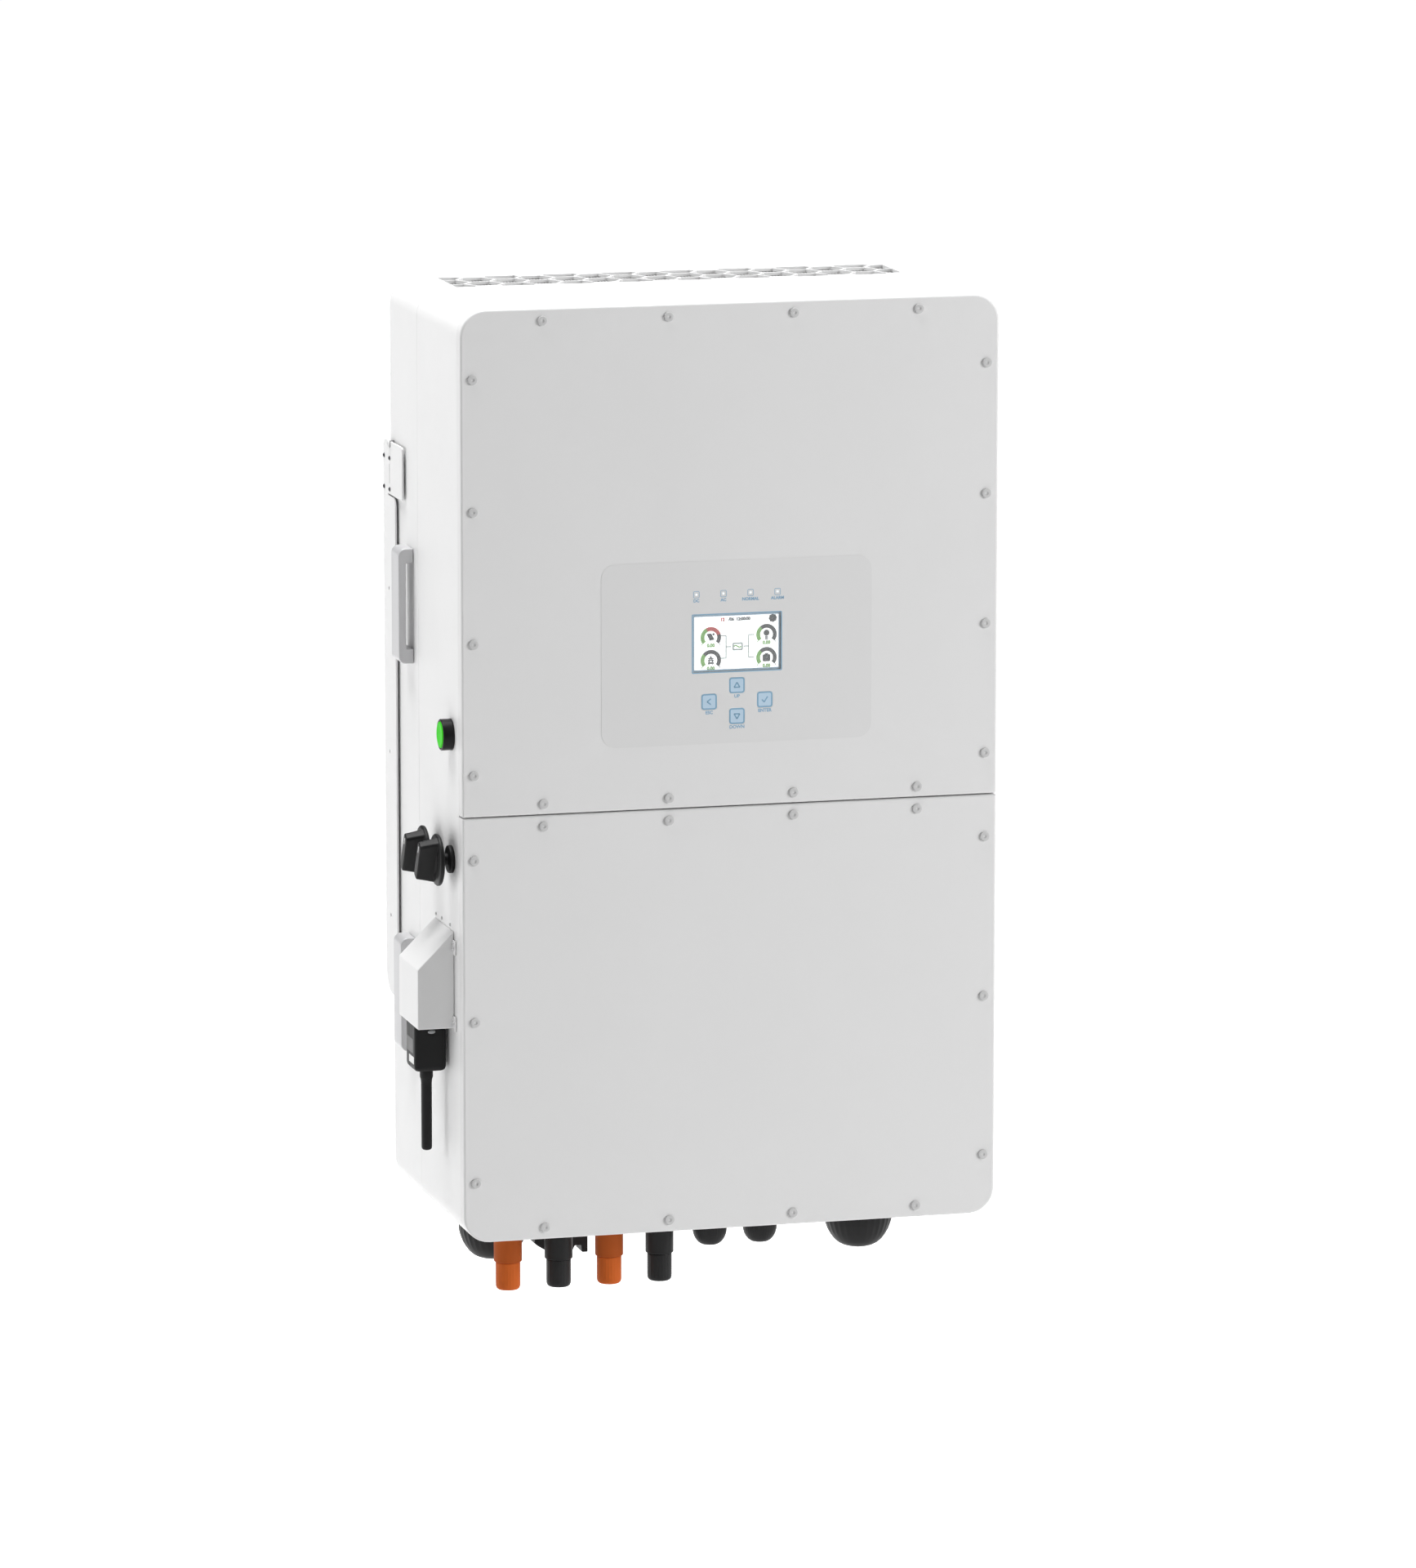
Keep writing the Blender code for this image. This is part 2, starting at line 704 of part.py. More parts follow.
def fan_frames():
    """Square frame with a round bore, a motor seat on three struts and a bearing hole."""
    low_z = FAN_TOP_Z - FAN_T
    seat_z = low_z + FAN_SEAT_T
    look = black_plastic("fan_plastic")
    half = FAN_SIZE / 2
    for index in range(FAN_COUNT):
        x, y = fan_x(index), depth_y(FAN_DEPTH)
        label = str(index + 1)
        square = rounded_rectangle((x - half, y - half), (x + half, y + half), 0.004, 0.004, 2)
        bore = circle((x, y), FAN_BORE_R, SIDES_FINE)
        frame = prism("fan_frame_" + label, [square, bore], low_z, FAN_TOP_Z, "XY", look)
        seat = rod(
            "fan_seat_" + label, FAN_HUB_R, (x, y, low_z + GAP), (x, y, seat_z), "Z", SIDES_ROUND
        )
        struts = []
        for strut in range(3):
            bar = block(
                "fan_strut_%s_%d" % (label, strut),
                (-FAN_STRUT_HALF, -0.002, -0.0015), (FAN_STRUT_HALF, 0.002, 0.0015),
            )
            angle = math.radians(30 + 120 * strut)
            bar.rotation_euler = (0, 0, angle)
            bar.location = (
                x - FAN_STRUT_MIDDLE * math.cos(angle), y - FAN_STRUT_MIDDLE * math.sin(angle),
                low_z + FAN_SEAT_T / 2,
            )
            struts.append(bar)
        fuse(frame, seat, *struts)
        cut(frame, rod(
            "fan_bearing_" + label, FAN_BEARING_R, (x, y, low_z + 4 * GAP),
            (x, y, seat_z + SHEET), "Z", SIDES_ROUND,
        ))


def fan_impellers():
    """Hub with pitched blades and a short shaft, on the fan's axis."""
    look = black_plastic("impeller_plastic")
    hub_low = FAN_TOP_Z - FAN_T + 0.0042
    hub_high = FAN_TOP_Z - 0.0008
    middle_z = (hub_low + hub_high) / 2
    root_r = FAN_HUB_R - 0.003
    pitched = Matrix.Rotation(FAN_BLADE_PITCH, 4, "X")
    size = Matrix.Diagonal((FAN_BLADE_R - root_r, FAN_BLADE_T, FAN_BLADE_CHORD, 1))
    place = Matrix.Translation(((root_r + FAN_BLADE_R) / 2, 0, 0))
    for index in range(FAN_COUNT):
        x, y = fan_x(index), depth_y(FAN_DEPTH)
        label = str(index + 1)
        hub = rod(
            "fan_impeller_" + label, FAN_HUB_R, (x, y, hub_low), (x, y, hub_high), "Z",
            SIDES_MIDDLE, look,
        )
        merged = bmesh.new()
        for blade in range(FAN_BLADES):
            turn = Matrix.Rotation(2 * math.pi * blade / FAN_BLADES, 4, "Z")
            bmesh.ops.create_cube(
                merged, size=1.0,
                matrix=Matrix.Translation((x, y, middle_z)) @ turn @ place @ pitched @ size,
            )
        blade_set = add_object("fan_blades_" + label, mesh_from("fan_blades", merged))
        shaft = rod(
            "fan_shaft_" + label, FAN_SHAFT_R, (x, y, hub_low - 0.0025), (x, y, hub_low + 0.002),
            "Z",
        )
        fuse(hub, blade_set, shaft)


# ---------------------------------------------------------------------------------------------
# Covers


def cover_span(name):
    """Lowest and highest Z of a cover, and its lower and upper corner radius."""
    if name == "upper":
        return COVER_SPLIT_Z + COVER_SPLIT_GAP / 2, HALF_H, 0.0, CASE_R
    return -HALF_H, COVER_SPLIT_Z - COVER_SPLIT_GAP / 2, CASE_R, 0.0


def cover_outline(name, inset):
    low_z, high_z, low_r, high_r = cover_span(name)
    return rounded_rectangle(
        (-HALF_W + inset, low_z + inset), (HALF_W - inset, high_z - inset),
        max(low_r - inset, 0.0), max(high_r - inset, 0.0),
    )


def screw_places(name):
    """Axis positions (x, z) of a cover's screws."""
    rows = [(step - 1.5) * SCREW_PITCH_X for step in range(4)]
    columns = (-HALF_W + SCREW_EDGE, HALF_W - SCREW_EDGE)
    if name == "upper":
        row_zs = (HALF_H - SCREW_EDGE, COVER_SPLIT_Z + SCREW_SPLIT_EDGE)
        side_zs = UPPER_SIDE_SCREW_Z
    else:
        row_zs = (COVER_SPLIT_Z - SCREW_SPLIT_EDGE, -HALF_H + SCREW_EDGE)
        side_zs = LOWER_SIDE_SCREW_Z
    places = [(x, z) for z in row_zs for x in rows]
    return places + [(x, z) for x in columns for z in side_zs]


def covers():
    """Two sheet pans with a folded skirt; the upper one is cut out for the operator panel."""
    for name in ("upper", "lower"):
        look = material(name + "_cover_paint", (0.66, 0.66, 0.66), 0.5)
        cover = prism(
            name + "_cover", [cover_outline(name, 0)], depth_y(0), depth_y(COVER_DEPTH), "XZ", look
        )
        pocket = prism(
            name + "_cover_pocket", [cover_outline(name, COVER_SHEET)],
            depth_y(COVER_SHEET), depth_y(COVER_DEPTH + SHEET), "XZ",
        )
        spans = [
            ((x, depth_y(-SHEET), z), (x, depth_y(COVER_SHEET + SHEET), z))
            for x, z in screw_places(name)
        ]
        cut(cover, pocket, rods(name + "_cover_holes", SCREW_SHANK_R + GAP, spans, "Y"))
        if name == "upper":
            cut(cover, prism(
                "panel_cutout", [panel_outline(GAP)], depth_y(-SHEET), depth_y(2 * SHEET), "XZ"
            ))


def gaskets():
    """Flat seal rings between each cover and its landing frame, inside the screw line."""
    for name in ("upper", "lower"):
        rings = [
            cover_outline(name, GASKET_INSET),
            cover_outline(name, GASKET_INSET + GASKET_BAND),
        ]
        prism(
            name + "_gasket", rings, depth_y(COVER_SHEET + GAP), depth_y(FRAME_FRONT - GAP), "XZ",
            material(name + "_gasket_rubber", (0.02, 0.02, 0.02), 0.8),
        )


def screw_frames():
    """Landing ring behind each cover, with the cover's button-head screws driven into it."""
    head_back = depth_y(-GAP)
    head_front = head_back - SCREW_HEAD_T
    for name in ("upper", "lower"):
        rings = [cover_outline(name, FRAME_INSET), cover_outline(name, FRAME_INSET + FRAME_BAND)]
        look = material(name + "_frame_steel", (0.50, 0.50, 0.51), 0.4, 1.0)
        frame = prism(
            name + "_screw_frame", rings, depth_y(FRAME_FRONT), depth_y(FRAME_BACK), "XZ", look
        )
        places = screw_places(name)
        shanks = [((x, head_front + 0.0005, z), (x, depth_y(0.012), z)) for x, z in places]
        heads = [((x, head_front, z), (x, head_back, z)) for x, z in places]
        fuse(
            frame,
            rods(name + "_shanks", SCREW_SHANK_R, shanks, "Y"),
            rods(name + "_heads", SCREW_HEAD_R, heads, "Y", SIDES_HEAD),
        )


# ---------------------------------------------------------------------------------------------
# Operator panel


def panel_outline(grow):
    low = (PANEL_X - PANEL_W / 2 - grow, PANEL_Z - PANEL_H / 2 - grow)
    high = (PANEL_X + PANEL_W / 2 + grow, PANEL_Z + PANEL_H / 2 + grow)
    return rounded_rectangle(low, high, PANEL_R + grow, PANEL_R + grow, 4)


def key_places():
    return {
        "esc": (PANEL_X - KEY_PITCH_X, KEY_Z),
        "up": (PANEL_X, KEY_Z + KEY_PITCH_Z),
        "down": (PANEL_X, KEY_Z - KEY_PITCH_Z),
        "enter": (PANEL_X + KEY_PITCH_X, KEY_Z),
    }


def led_places():
    return [(PANEL_X + (step - 1.5) * LED_PITCH, LED_Z) for step in range(4)]


def operator_panel():
    """Front plate of the panel, flush with the cover, held by a wider rim behind it."""
    openings = [slot_outline((PANEL_X, LCD_Z), LCD_W, LCD_H)]
    openings += [circle(place, LED_R) for place in led_places()]
    look = material("panel_film", (0.61, 0.61, 0.61), 0.45)
    panel = prism(
        "operator_panel", [panel_outline(0)] + openings, depth_y(0), depth_y(PANEL_T), "XZ", look
    )
    centre = (PANEL_X, PANEL_Z)
    rim_front = COVER_SHEET + GAP
    rim = prism(
        "panel_rim",
        [
            slot_outline(centre, PANEL_W + 2 * RIM_OUT, PANEL_H + 2 * RIM_OUT),
            slot_outline(centre, PANEL_W - 2 * RIM_IN, PANEL_H - 2 * RIM_IN),
        ],
        depth_y(rim_front), depth_y(rim_front + RIM_T + 2 * GAP), "XZ",
    )
    fuse(panel, rim)
    reach = KEY_SIZE / 2 + GAP
    front, back = depth_y(-SHEET), depth_y(PANEL_T + SHEET)
    for name, (x, z) in key_places().items():
        cut(panel, block(
            "key_window_" + name, (x - reach, front, z - reach), (x + reach, back, z + reach)
        ))


def display():
    """Glass window, the display module behind it, and the light guide for the indicator lamps."""
    half_w, half_h = LCD_W / 2 - GAP, LCD_H / 2 - GAP
    block(
        "display_window",
        (PANEL_X - half_w, depth_y(GAP), LCD_Z - half_h),
        (PANEL_X + half_w, depth_y(GAP + WINDOW_T), LCD_Z + half_h),
        material("window_glass", (0.9, 0.95, 1.0), 0.05),
    )
    module = block(
        "display_module",
        (PANEL_X - MODULE_W / 2, depth_y(MODULE_FRONT), LCD_Z - MODULE_H / 2),
        (PANEL_X + MODULE_W / 2, depth_y(MODULE_BACK), LCD_Z + MODULE_H / 2),
        material("module_frame", (0.05, 0.05, 0.05), 0.5),
    )
    half_w, half_h = LCD_W / 2 - 4 * GAP, LCD_H / 2 - 4 * GAP
    screen = block(
        "module_screen",
        (PANEL_X - half_w, depth_y(SCREEN_FRONT), LCD_Z - half_h),
        (PANEL_X + half_w, depth_y(MODULE_FRONT + SHEET / 2), LCD_Z + half_h),
    )
    fuse(module, screen)
    guide = block(
        "light_guide",
        (PANEL_X - GUIDE_W / 2, depth_y(GUIDE_FRONT), LED_Z - GUIDE_H / 2),
        (PANEL_X + GUIDE_W / 2, depth_y(GUIDE_BACK), LED_Z + GUIDE_H / 2),
        material("clear_plastic", (0.85, 0.92, 0.98), 0.2),
    )
    pins = [((x, depth_y(GAP), z), (x, depth_y(GUIDE_FRONT + GAP), z)) for x, z in led_places()]
    fuse(guide, rods("guide_pins", LED_R - GAP, pins, "Y"))


def keys():
    """Four keys, each with a retaining flange behind the panel."""
    half = KEY_SIZE / 2
    collar_x, collar_z = KEY_COLLAR_W / 2, KEY_COLLAR_H / 2
    for name, (x, z) in key_places().items():
        key = block(
            "key_" + name,
            (x - half, depth_y(GAP / 3), z - half), (x + half, depth_y(KEY_BACK), z + half),
            material("key_cap_" + name, (0.60, 0.62, 0.64), 0.45),
        )
        collar = block(
            "key_collar_" + name,
            (x - collar_x, depth_y(PANEL_T + GAP), z - collar_z),
            (x + collar_x, depth_y(KEY_COLLAR_BACK), z + collar_z),
        )
        fuse(key, collar)


def control_board():
    """Board behind the panel, on four posts, with a switch under each key."""
    board_front = depth_y(BOARD_FRONT)
    board = block(
        "control_board",
        (PANEL_X - BOARD_W / 2, board_front, PANEL_Z - BOARD_LOW),
        (PANEL_X + BOARD_W / 2, depth_y(BOARD_FRONT + BOARD_T), PANEL_Z + BOARD_HIGH),
        material("board_green", (0.02, 0.16, 0.06), 0.5),
    )
    into_board = board_front + GAP
    switches = [
        ((x, depth_y(KEY_SWITCH_FRONT), z), (x, into_board, z)) for x, z in key_places().values()
    ]
    post_x, post_z = BOARD_W / 2 - 0.005, BOARD_HIGH - 0.004
    post_front = depth_y(PANEL_T + GAP)
    posts = [
        ((PANEL_X + sx * post_x, post_front, PANEL_Z + sz * post_z),
         (PANEL_X + sx * post_x, into_board, PANEL_Z + sz * post_z))
        for sx in (-1, 1) for sz in (-1, 1)
    ]
    fuse(
        board,
        rods("board_switches", BOARD_POST_R, switches, "Y"),
        rods("board_posts", BOARD_POST_R, posts, "Y"),
    )


# ---------------------------------------------------------------------------------------------
# Left side wall

OUTWARD_LEFT = (0, -math.pi / 2, 0)   # turns local +Z to point out of the left wall


def power_button():
    """Round bezel with a blind bore, and the cap that slides in it along X."""
    place = (-HALF_W, depth_y(BUTTON_DEPTH), BUTTON_Z)
    bore = BUTTON_CAP_R + GAP
    nut_r, nut_back = 0.0140, -0.020
    bezel = [
        (0, BUTTON_SEAT), (bore, BUTTON_SEAT), (bore, BUTTON_REACH),
        (BUTTON_BEZEL_R - 0.001, BUTTON_REACH), (BUTTON_BEZEL_R, BUTTON_REACH - 0.001),
        (BUTTON_BEZEL_R, GAP), (BUTTON_NECK_R, GAP), (BUTTON_NECK_R, -SHEET - GAP),
        (nut_r, -SHEET - GAP), (nut_r, nut_back), (0, nut_back),
    ]
    turned(
        "power_button_bezel", bezel, place, black_plastic("bezel_plastic"), SIDES_FINE,
        OUTWARD_LEFT,
    )
    top = BUTTON_REACH + 0.0008
    edge = 0.0012
    cap = [
        (0, top), (BUTTON_CAP_R - edge, top), (BUTTON_CAP_R, top - edge),
        (BUTTON_CAP_R, BUTTON_CAP_INNER), (0, BUTTON_CAP_INNER),
    ]
    turned(
        "power_button_cap", cap, place, material("button_green", (0.05, 0.62, 0.05), 0.35),
        SIDES_FINE, OUTWARD_LEFT,
    )


def dc_switches():
    """Rotary isolators: a body with an outside collar, and a knob that turns about X."""
    shaft_low, bore_top, collar_top = 0.0010, KNOB_INNER - 0.0006, 0.0050
    knob_top = KNOB_INNER + KNOB_DISC_T
    mechanism_depth, mechanism_y, mechanism_z = MECHANISM
    base, tip = -HALF_W - KNOB_INNER - 0.002, -HALF_W - KNOB_REACH
    grip_outline = [(base, -GRIP_ROOT), (base, GRIP_ROOT), (tip, GRIP_TIP), (tip, -GRIP_TIP)]
    for name, depth in SWITCH_DEPTHS.items():
        middle_z = SWITCH_Z[name]
        place = (-HALF_W, depth_y(depth), middle_z)
        body_profile = [
            (0, shaft_low), (SHAFT_R, shaft_low), (SHAFT_R, bore_top), (SHAFT_BORE_R, bore_top),
            (SHAFT_BORE_R, collar_top), (COLLAR_R - 0.0013, collar_top - 0.0005),
            (COLLAR_R, collar_top - 0.0015), (COLLAR_R, GAP), (SWITCH_NECK_R, GAP),
            (SWITCH_NECK_R, -0.0120), (0, -0.0120),
        ]
        body = turned(
            "dc_switch_%s_body" % name, body_profile, place,
            black_plastic("switch_body_plastic_" + name), SIDES_MIDDLE, OUTWARD_LEFT,
        )
        mechanism = block(
            "switch_mechanism_" + name,
            (-HALF_W + SHEET + GAP, depth_y(depth) - mechanism_y, middle_z - mechanism_z),
            (-HALF_W + mechanism_depth, depth_y(depth) + mechanism_y, middle_z + mechanism_z),
        )
        fuse(body, mechanism)
        knob_profile = [
            (0, knob_top), (KNOB_R - 0.002, knob_top), (KNOB_R, knob_top - 0.0015),
            (KNOB_R, KNOB_INNER + 0.001), (KNOB_R - 0.001, KNOB_INNER), (SHAFT_R - 0.0004, KNOB_INNER),
            (SHAFT_R - 0.0004, 2 * shaft_low), (0, 2 * shaft_low),
        ]
        knob = turned(
            "dc_switch_%s_knob" % name, knob_profile, place,
            black_plastic("knob_plastic_" + name), SIDES_FINE, OUTWARD_LEFT,
        )
        grip = prism("grip_" + name, [grip_outline], -GRIP_HALF_T, GRIP_HALF_T, "XZ")
        grip.location = (0, depth_y(depth), middle_z)
        grip.rotation_euler = (math.pi / 2 + SWITCH_LEAN, 0, 0)
        fuse(knob, grip)


def hood_outline(inset, open_by):
    """Hood in the XZ plane; a positive open_by takes the outline past its open sides."""
    slope = inset * 1.45
    inner = -HALF_W + open_by
    outer = -HALF_W - HOOD_REACH + inset
    return [
        (inner, HOOD_TOP_Z - slope + open_by),
        (outer, HOOD_SHOULDER_Z - slope + inset),
        (outer, HOOD_BOTTOM_Z - open_by),
        (inner, HOOD_BOTTOM_Z - open_by),
    ]


def logger_hood():
    """Bent sheet hood over the logger: sloped top, open below and towards the wall."""
    front, back = depth_y(HOOD_FRONT), depth_y(HOOD_BACK)
    hood = prism(
        "logger_hood", [hood_outline(0, -GAP)], front, back, "XZ", white_paint("hood_paint")
    )
    cut(hood, prism(
        "hood_pocket", [hood_outline(HOOD_SHEET, SHEET)], front + HOOD_SHEET, back - HOOD_SHEET,
        "XZ",
    ))
    tab_y, tab_z = HOOD_TAB
    wall = -HALF_W - GAP
    low_ys = (front - tab_y + 0.001, back - 0.001)
    low_zs = (HOOD_TOP_Z - 0.022, HOOD_BOTTOM_Z - 0.002)
    for index, (low_y, low_z) in enumerate((y, z) for y in low_ys for z in low_zs):
        fuse(hood, block(
            "hood_tab_%d" % index,
            (wall - HOOD_SHEET, low_y, low_z), (wall, low_y + tab_y, low_z + tab_z),
        ))


def data_logger():
    """Socket on the wall, the plug-in logger below it and the antenna under the logger."""
    y = depth_y((LOGGER_FRONT + LOGGER_BACK) / 2)
    x = -HALF_W - (LOGGER_INNER + LOGGER_OUTER) / 2
    socket_low = LOGGER_TOP_Z + GAP + SOCKET_LIFT
    socket = block(
        "logger_socket",
        (-HALF_W - SOCKET_REACH, y - SOCKET_HALF, socket_low),
        (-HALF_W - GAP, y + SOCKET_HALF, socket_low + SOCKET_H),
        black_plastic("socket_plastic"),
    )
    fuse(
        socket,
        rod(
            "socket_stem", LOGGER_STEM_R, (-HALF_W - 0.002, y, LOGGER_STEM_Z),
            (-HALF_W + 0.010, y, LOGGER_STEM_Z), "X", SIDES_ROUND,
        ),
        rod(
            "socket_neck", LOGGER_NECK_R, (x, y, LOGGER_TOP_Z + GAP), (x, y, socket_low + 0.002),
            "Z", SIDES_FINE,
        ),
    )
    logger = prism(
        "data_logger",
        [rounded_rectangle(
            (-HALF_W - LOGGER_OUTER, depth_y(LOGGER_FRONT)),
            (-HALF_W - LOGGER_INNER, depth_y(LOGGER_BACK)), LOGGER_CORNER_R, LOGGER_CORNER_R, 3,
        )],
        LOGGER_BOTTOM_Z, LOGGER_TOP_Z, "XY", black_plastic("logger_plastic"),
    )
    cut(logger, rod(
        "antenna_socket", ANTENNA_PIN_R + 0.0004, (x, y, LOGGER_BOTTOM_Z - 0.002),
        (x, y, LOGGER_BOTTOM_Z + 0.006), "Z", SIDES_ROUND,
    ))
    drop = LOGGER_BOTTOM_Z - GAP
    profile = [
        (0, drop + 0.005), (ANTENNA_PIN_R, drop + 0.005), (ANTENNA_PIN_R, drop),
        (ANTENNA_NUT_R, drop), (ANTENNA_NUT_R, drop - 0.009), (ANTENNA_R, drop - 0.012),
        (ANTENNA_R, ANTENNA_TIP_Z + 0.0025), (0.0036, ANTENNA_TIP_Z + 0.0006),
        (0.0020, ANTENNA_TIP_Z), (0, ANTENNA_TIP_Z),
    ]
    turned("logger_antenna", profile, (x, y, 0), black_plastic("antenna_plastic"), SIDES_ROUND)


def handles():
    """Low bow handles, two on each side, bent from flat bar."""
    for side, sign in (("left", -1), ("right", 1)):
        inner = sign * (HALF_W + GAP)
        outer = sign * (HALF_W + HANDLE_REACH)
        under = sign * (HALF_W + HANDLE_REACH - HANDLE_BAR)
        corner = outer - sign * HANDLE_BEND
        for level, middle_z in HANDLE_Z.items():
            low, high = middle_z - HANDLE_H / 2, middle_z + HANDLE_H / 2
            outline = [
                (inner, low), (corner, low), (outer, low + HANDLE_SLOPE),
                (outer, high - HANDLE_SLOPE), (corner, high), (inner, high),
                (inner, high - HANDLE_FOOT), (under, high - HANDLE_FOOT),
                (under, low + HANDLE_FOOT), (inner, low + HANDLE_FOOT),
            ]
            prism(
                "handle_%s_%s" % (side, level), [outline],
                depth_y(HANDLE_FRONT), depth_y(HANDLE_FRONT + HANDLE_W), "XZ",
                material("handle_metal_%s_%s" % (side, level), (0.60, 0.60, 0.61), 0.35, 1.0),
            )


# ---------------------------------------------------------------------------------------------
# Wall bracket


def flange_outline():
    """Side flange with its wide ear at the top, as (y, z)."""
    rear_r, front_r, ear_r = FLANGE_REAR_R, FLANGE_FRONT_R, EAR_CORNER_R
    back = depth_y(FRONT_TO_WALL)
    front, ear = depth_y(FLANGE_FRONT), depth_y(EAR_FRONT)
    outline = arc((front + front_r, FLANGE_LOW_Z + front_r), front_r, 180, 270, 4)
    outline += arc((back - rear_r, FLANGE_LOW_Z + rear_r), rear_r, 270, 360, 5)
    outline += arc((back - front_r, EAR_TOP_Z - front_r), front_r, 0, 90, 4)
    outline += arc((ear + ear_r, EAR_TOP_Z - ear_r), ear_r, 90, 180, 2)
    outline += arc((ear + ear_r, EAR_LOW_Z + ear_r), ear_r, 180, 270, 2)
    shoulder = (front + SHOULDER_R, EAR_LOW_Z - EAR_SLOT - SHOULDER_R)
    outline.append((depth_y(EAR_SLOT_BACK), EAR_LOW_Z))
    outline.append((depth_y(EAR_SLOT_BACK), EAR_LOW_Z - EAR_SLOT))
    outline += arc(shoulder, SHOULDER_R, 90, 180, 6)
    return outline


def wall_bracket():
    """Back plate with windows and anchor holes, two side flanges with ears and a cleat lip."""
    edge = HALF_W + BRACKET_OUT
    back = depth_y(FRONT_TO_WALL)
    plate_front = back - BRACKET_SHEET
    into_flange = FLANGE_SHEET / 2
    through = (plate_front - BRACKET_SHEET, back + BRACKET_SHEET)
    bracket = block(
        "wall_bracket", (-edge + into_flange, plate_front, PLATE_LOW_Z),
        (edge - into_flange, back, EAR_TOP_Z - FLANGE_FRONT_R), white_paint("bracket_paint"),
    )
    for level, (low_z, high_z) in WINDOW_SPANS.items():
        for side, sign in (("left", -1), ("right", 1)):
            middle = sign * WINDOW_X
            window = rounded_rectangle(
                (middle - WINDOW_HALF, low_z), (middle + WINDOW_HALF, high_z), WINDOW_R, WINDOW_R, 2
            )
            cut(bracket, prism("bracket_window_%s_%s" % (level, side), [window], *through, "XZ"))
    anchor_spans = [
        ((x, through[0], z), (x, through[1], z)) for x in ANCHOR_XS for z in ANCHOR_ZS
    ]
    cut(bracket, rods("anchor_holes", ANCHOR_R, anchor_spans, "Y", SIDES_HEAD))
    for name, sign in (("left", -1), ("right", 1)):
        outer = sign * edge
        flange = prism(
            "flange_" + name, [flange_outline()], outer, outer - sign * FLANGE_SHEET, "YZ"
        )
        fuse(bracket, flange)
    lip_back, lip_front = plate_front - CLEAT_STAND, plate_front - CLEAT_STAND - CLEAT_T
    into_plate = plate_front + BRACKET_SHEET / 2
    lip = [
        (into_plate, CLEAT_Z), (into_plate, CLEAT_Z + CLEAT_T), (lip_back, CLEAT_Z + CLEAT_T),
        (lip_back, CLEAT_Z + CLEAT_H), (lip_front, CLEAT_Z + CLEAT_H), (lip_front, CLEAT_Z),
    ]
    fuse(bracket, prism("cleat_lip", [lip], -CLEAT_W / 2, CLEAT_W / 2, "YZ"))
    bolt_y, notch = depth_y(EAR_BOLT_DEPTH), EAR_BOLT_R + GAP
    for name, sign in (("left", -1), ("right", 1)):
        notch_x = sign * edge
        cut(bracket, block(
            "ear_notch_" + name,
            (notch_x - 2 * FLANGE_SHEET, bolt_y - notch, EAR_BOLT_Z - notch),
            (notch_x + 2 * FLANGE_SHEET, bolt_y + notch, EAR_TOP_Z + SHEET),
        ))


def hanger_rail():
    """Z-shaped rail on the back of the shroud, hooked over the bracket's cleat lip."""
    case_back = depth_y(CASE_BACK) + GAP
    plate_front = depth_y(FRONT_TO_WALL) - BRACKET_SHEET
    hook_front, hook_back = plate_front - CLEAT_STAND + 2 * GAP, plate_front - 2 * GAP
    hook_low, shelf = CLEAT_Z + CLEAT_STAND, CLEAT_Z + CLEAT_H + GAP
    top = shelf + RAIL_SHEET
    outline = [
        (case_back, shelf), (hook_front, shelf), (hook_front, hook_low), (hook_back, hook_low),
        (hook_back, top), (case_back + RAIL_SHEET, top), (case_back + RAIL_SHEET, top + RAIL_UP),
        (case_back, top + RAIL_UP),
    ]
    look = material("hanger_steel", (0.60, 0.60, 0.61), 0.4, 1.0)
    prism("hanger_rail", [outline], -CLEAT_W / 2 + 0.010, CLEAT_W / 2 - 0.010, "YZ", look)


def ear_bolts():
    """Bolts through the ears' open notches into the shroud's side walls."""
    head, tip, edge = BRACKET_OUT + GAP, -2 * SHEET, 0.0013
    profile = [
        (0, head + EAR_HEAD_T), (EAR_HEAD_R - edge, head + EAR_HEAD_T),
        (EAR_HEAD_R, head + EAR_HEAD_T - edge), (EAR_HEAD_R, head), (EAR_BOLT_R, head),
        (EAR_BOLT_R, tip), (0, tip),
    ]
    for name, sign in (("left", -1), ("right", 1)):
        turned(
            "ear_bolt_" + name, profile, (sign * HALF_W, depth_y(EAR_BOLT_DEPTH), EAR_BOLT_Z),
            material("bolt_steel_" + name, (0.16, 0.16, 0.17), 0.4, 1.0), SIDES_ROUND,
            (0, sign * math.pi / 2, 0),
        )


# ---------------------------------------------------------------------------------------------
# Bottom


def through_wall(outer_r, neck_r, nut_t):
    """Profile of the stretch inside the case: lock nut, neck through the wall, down to the flange."""
    return [
        (0, SHEET + nut_t), (outer_r, SHEET + nut_t), (outer_r, SHEET + GAP),
        (neck_r, SHEET + GAP), (neck_r, -GAP),
    ]


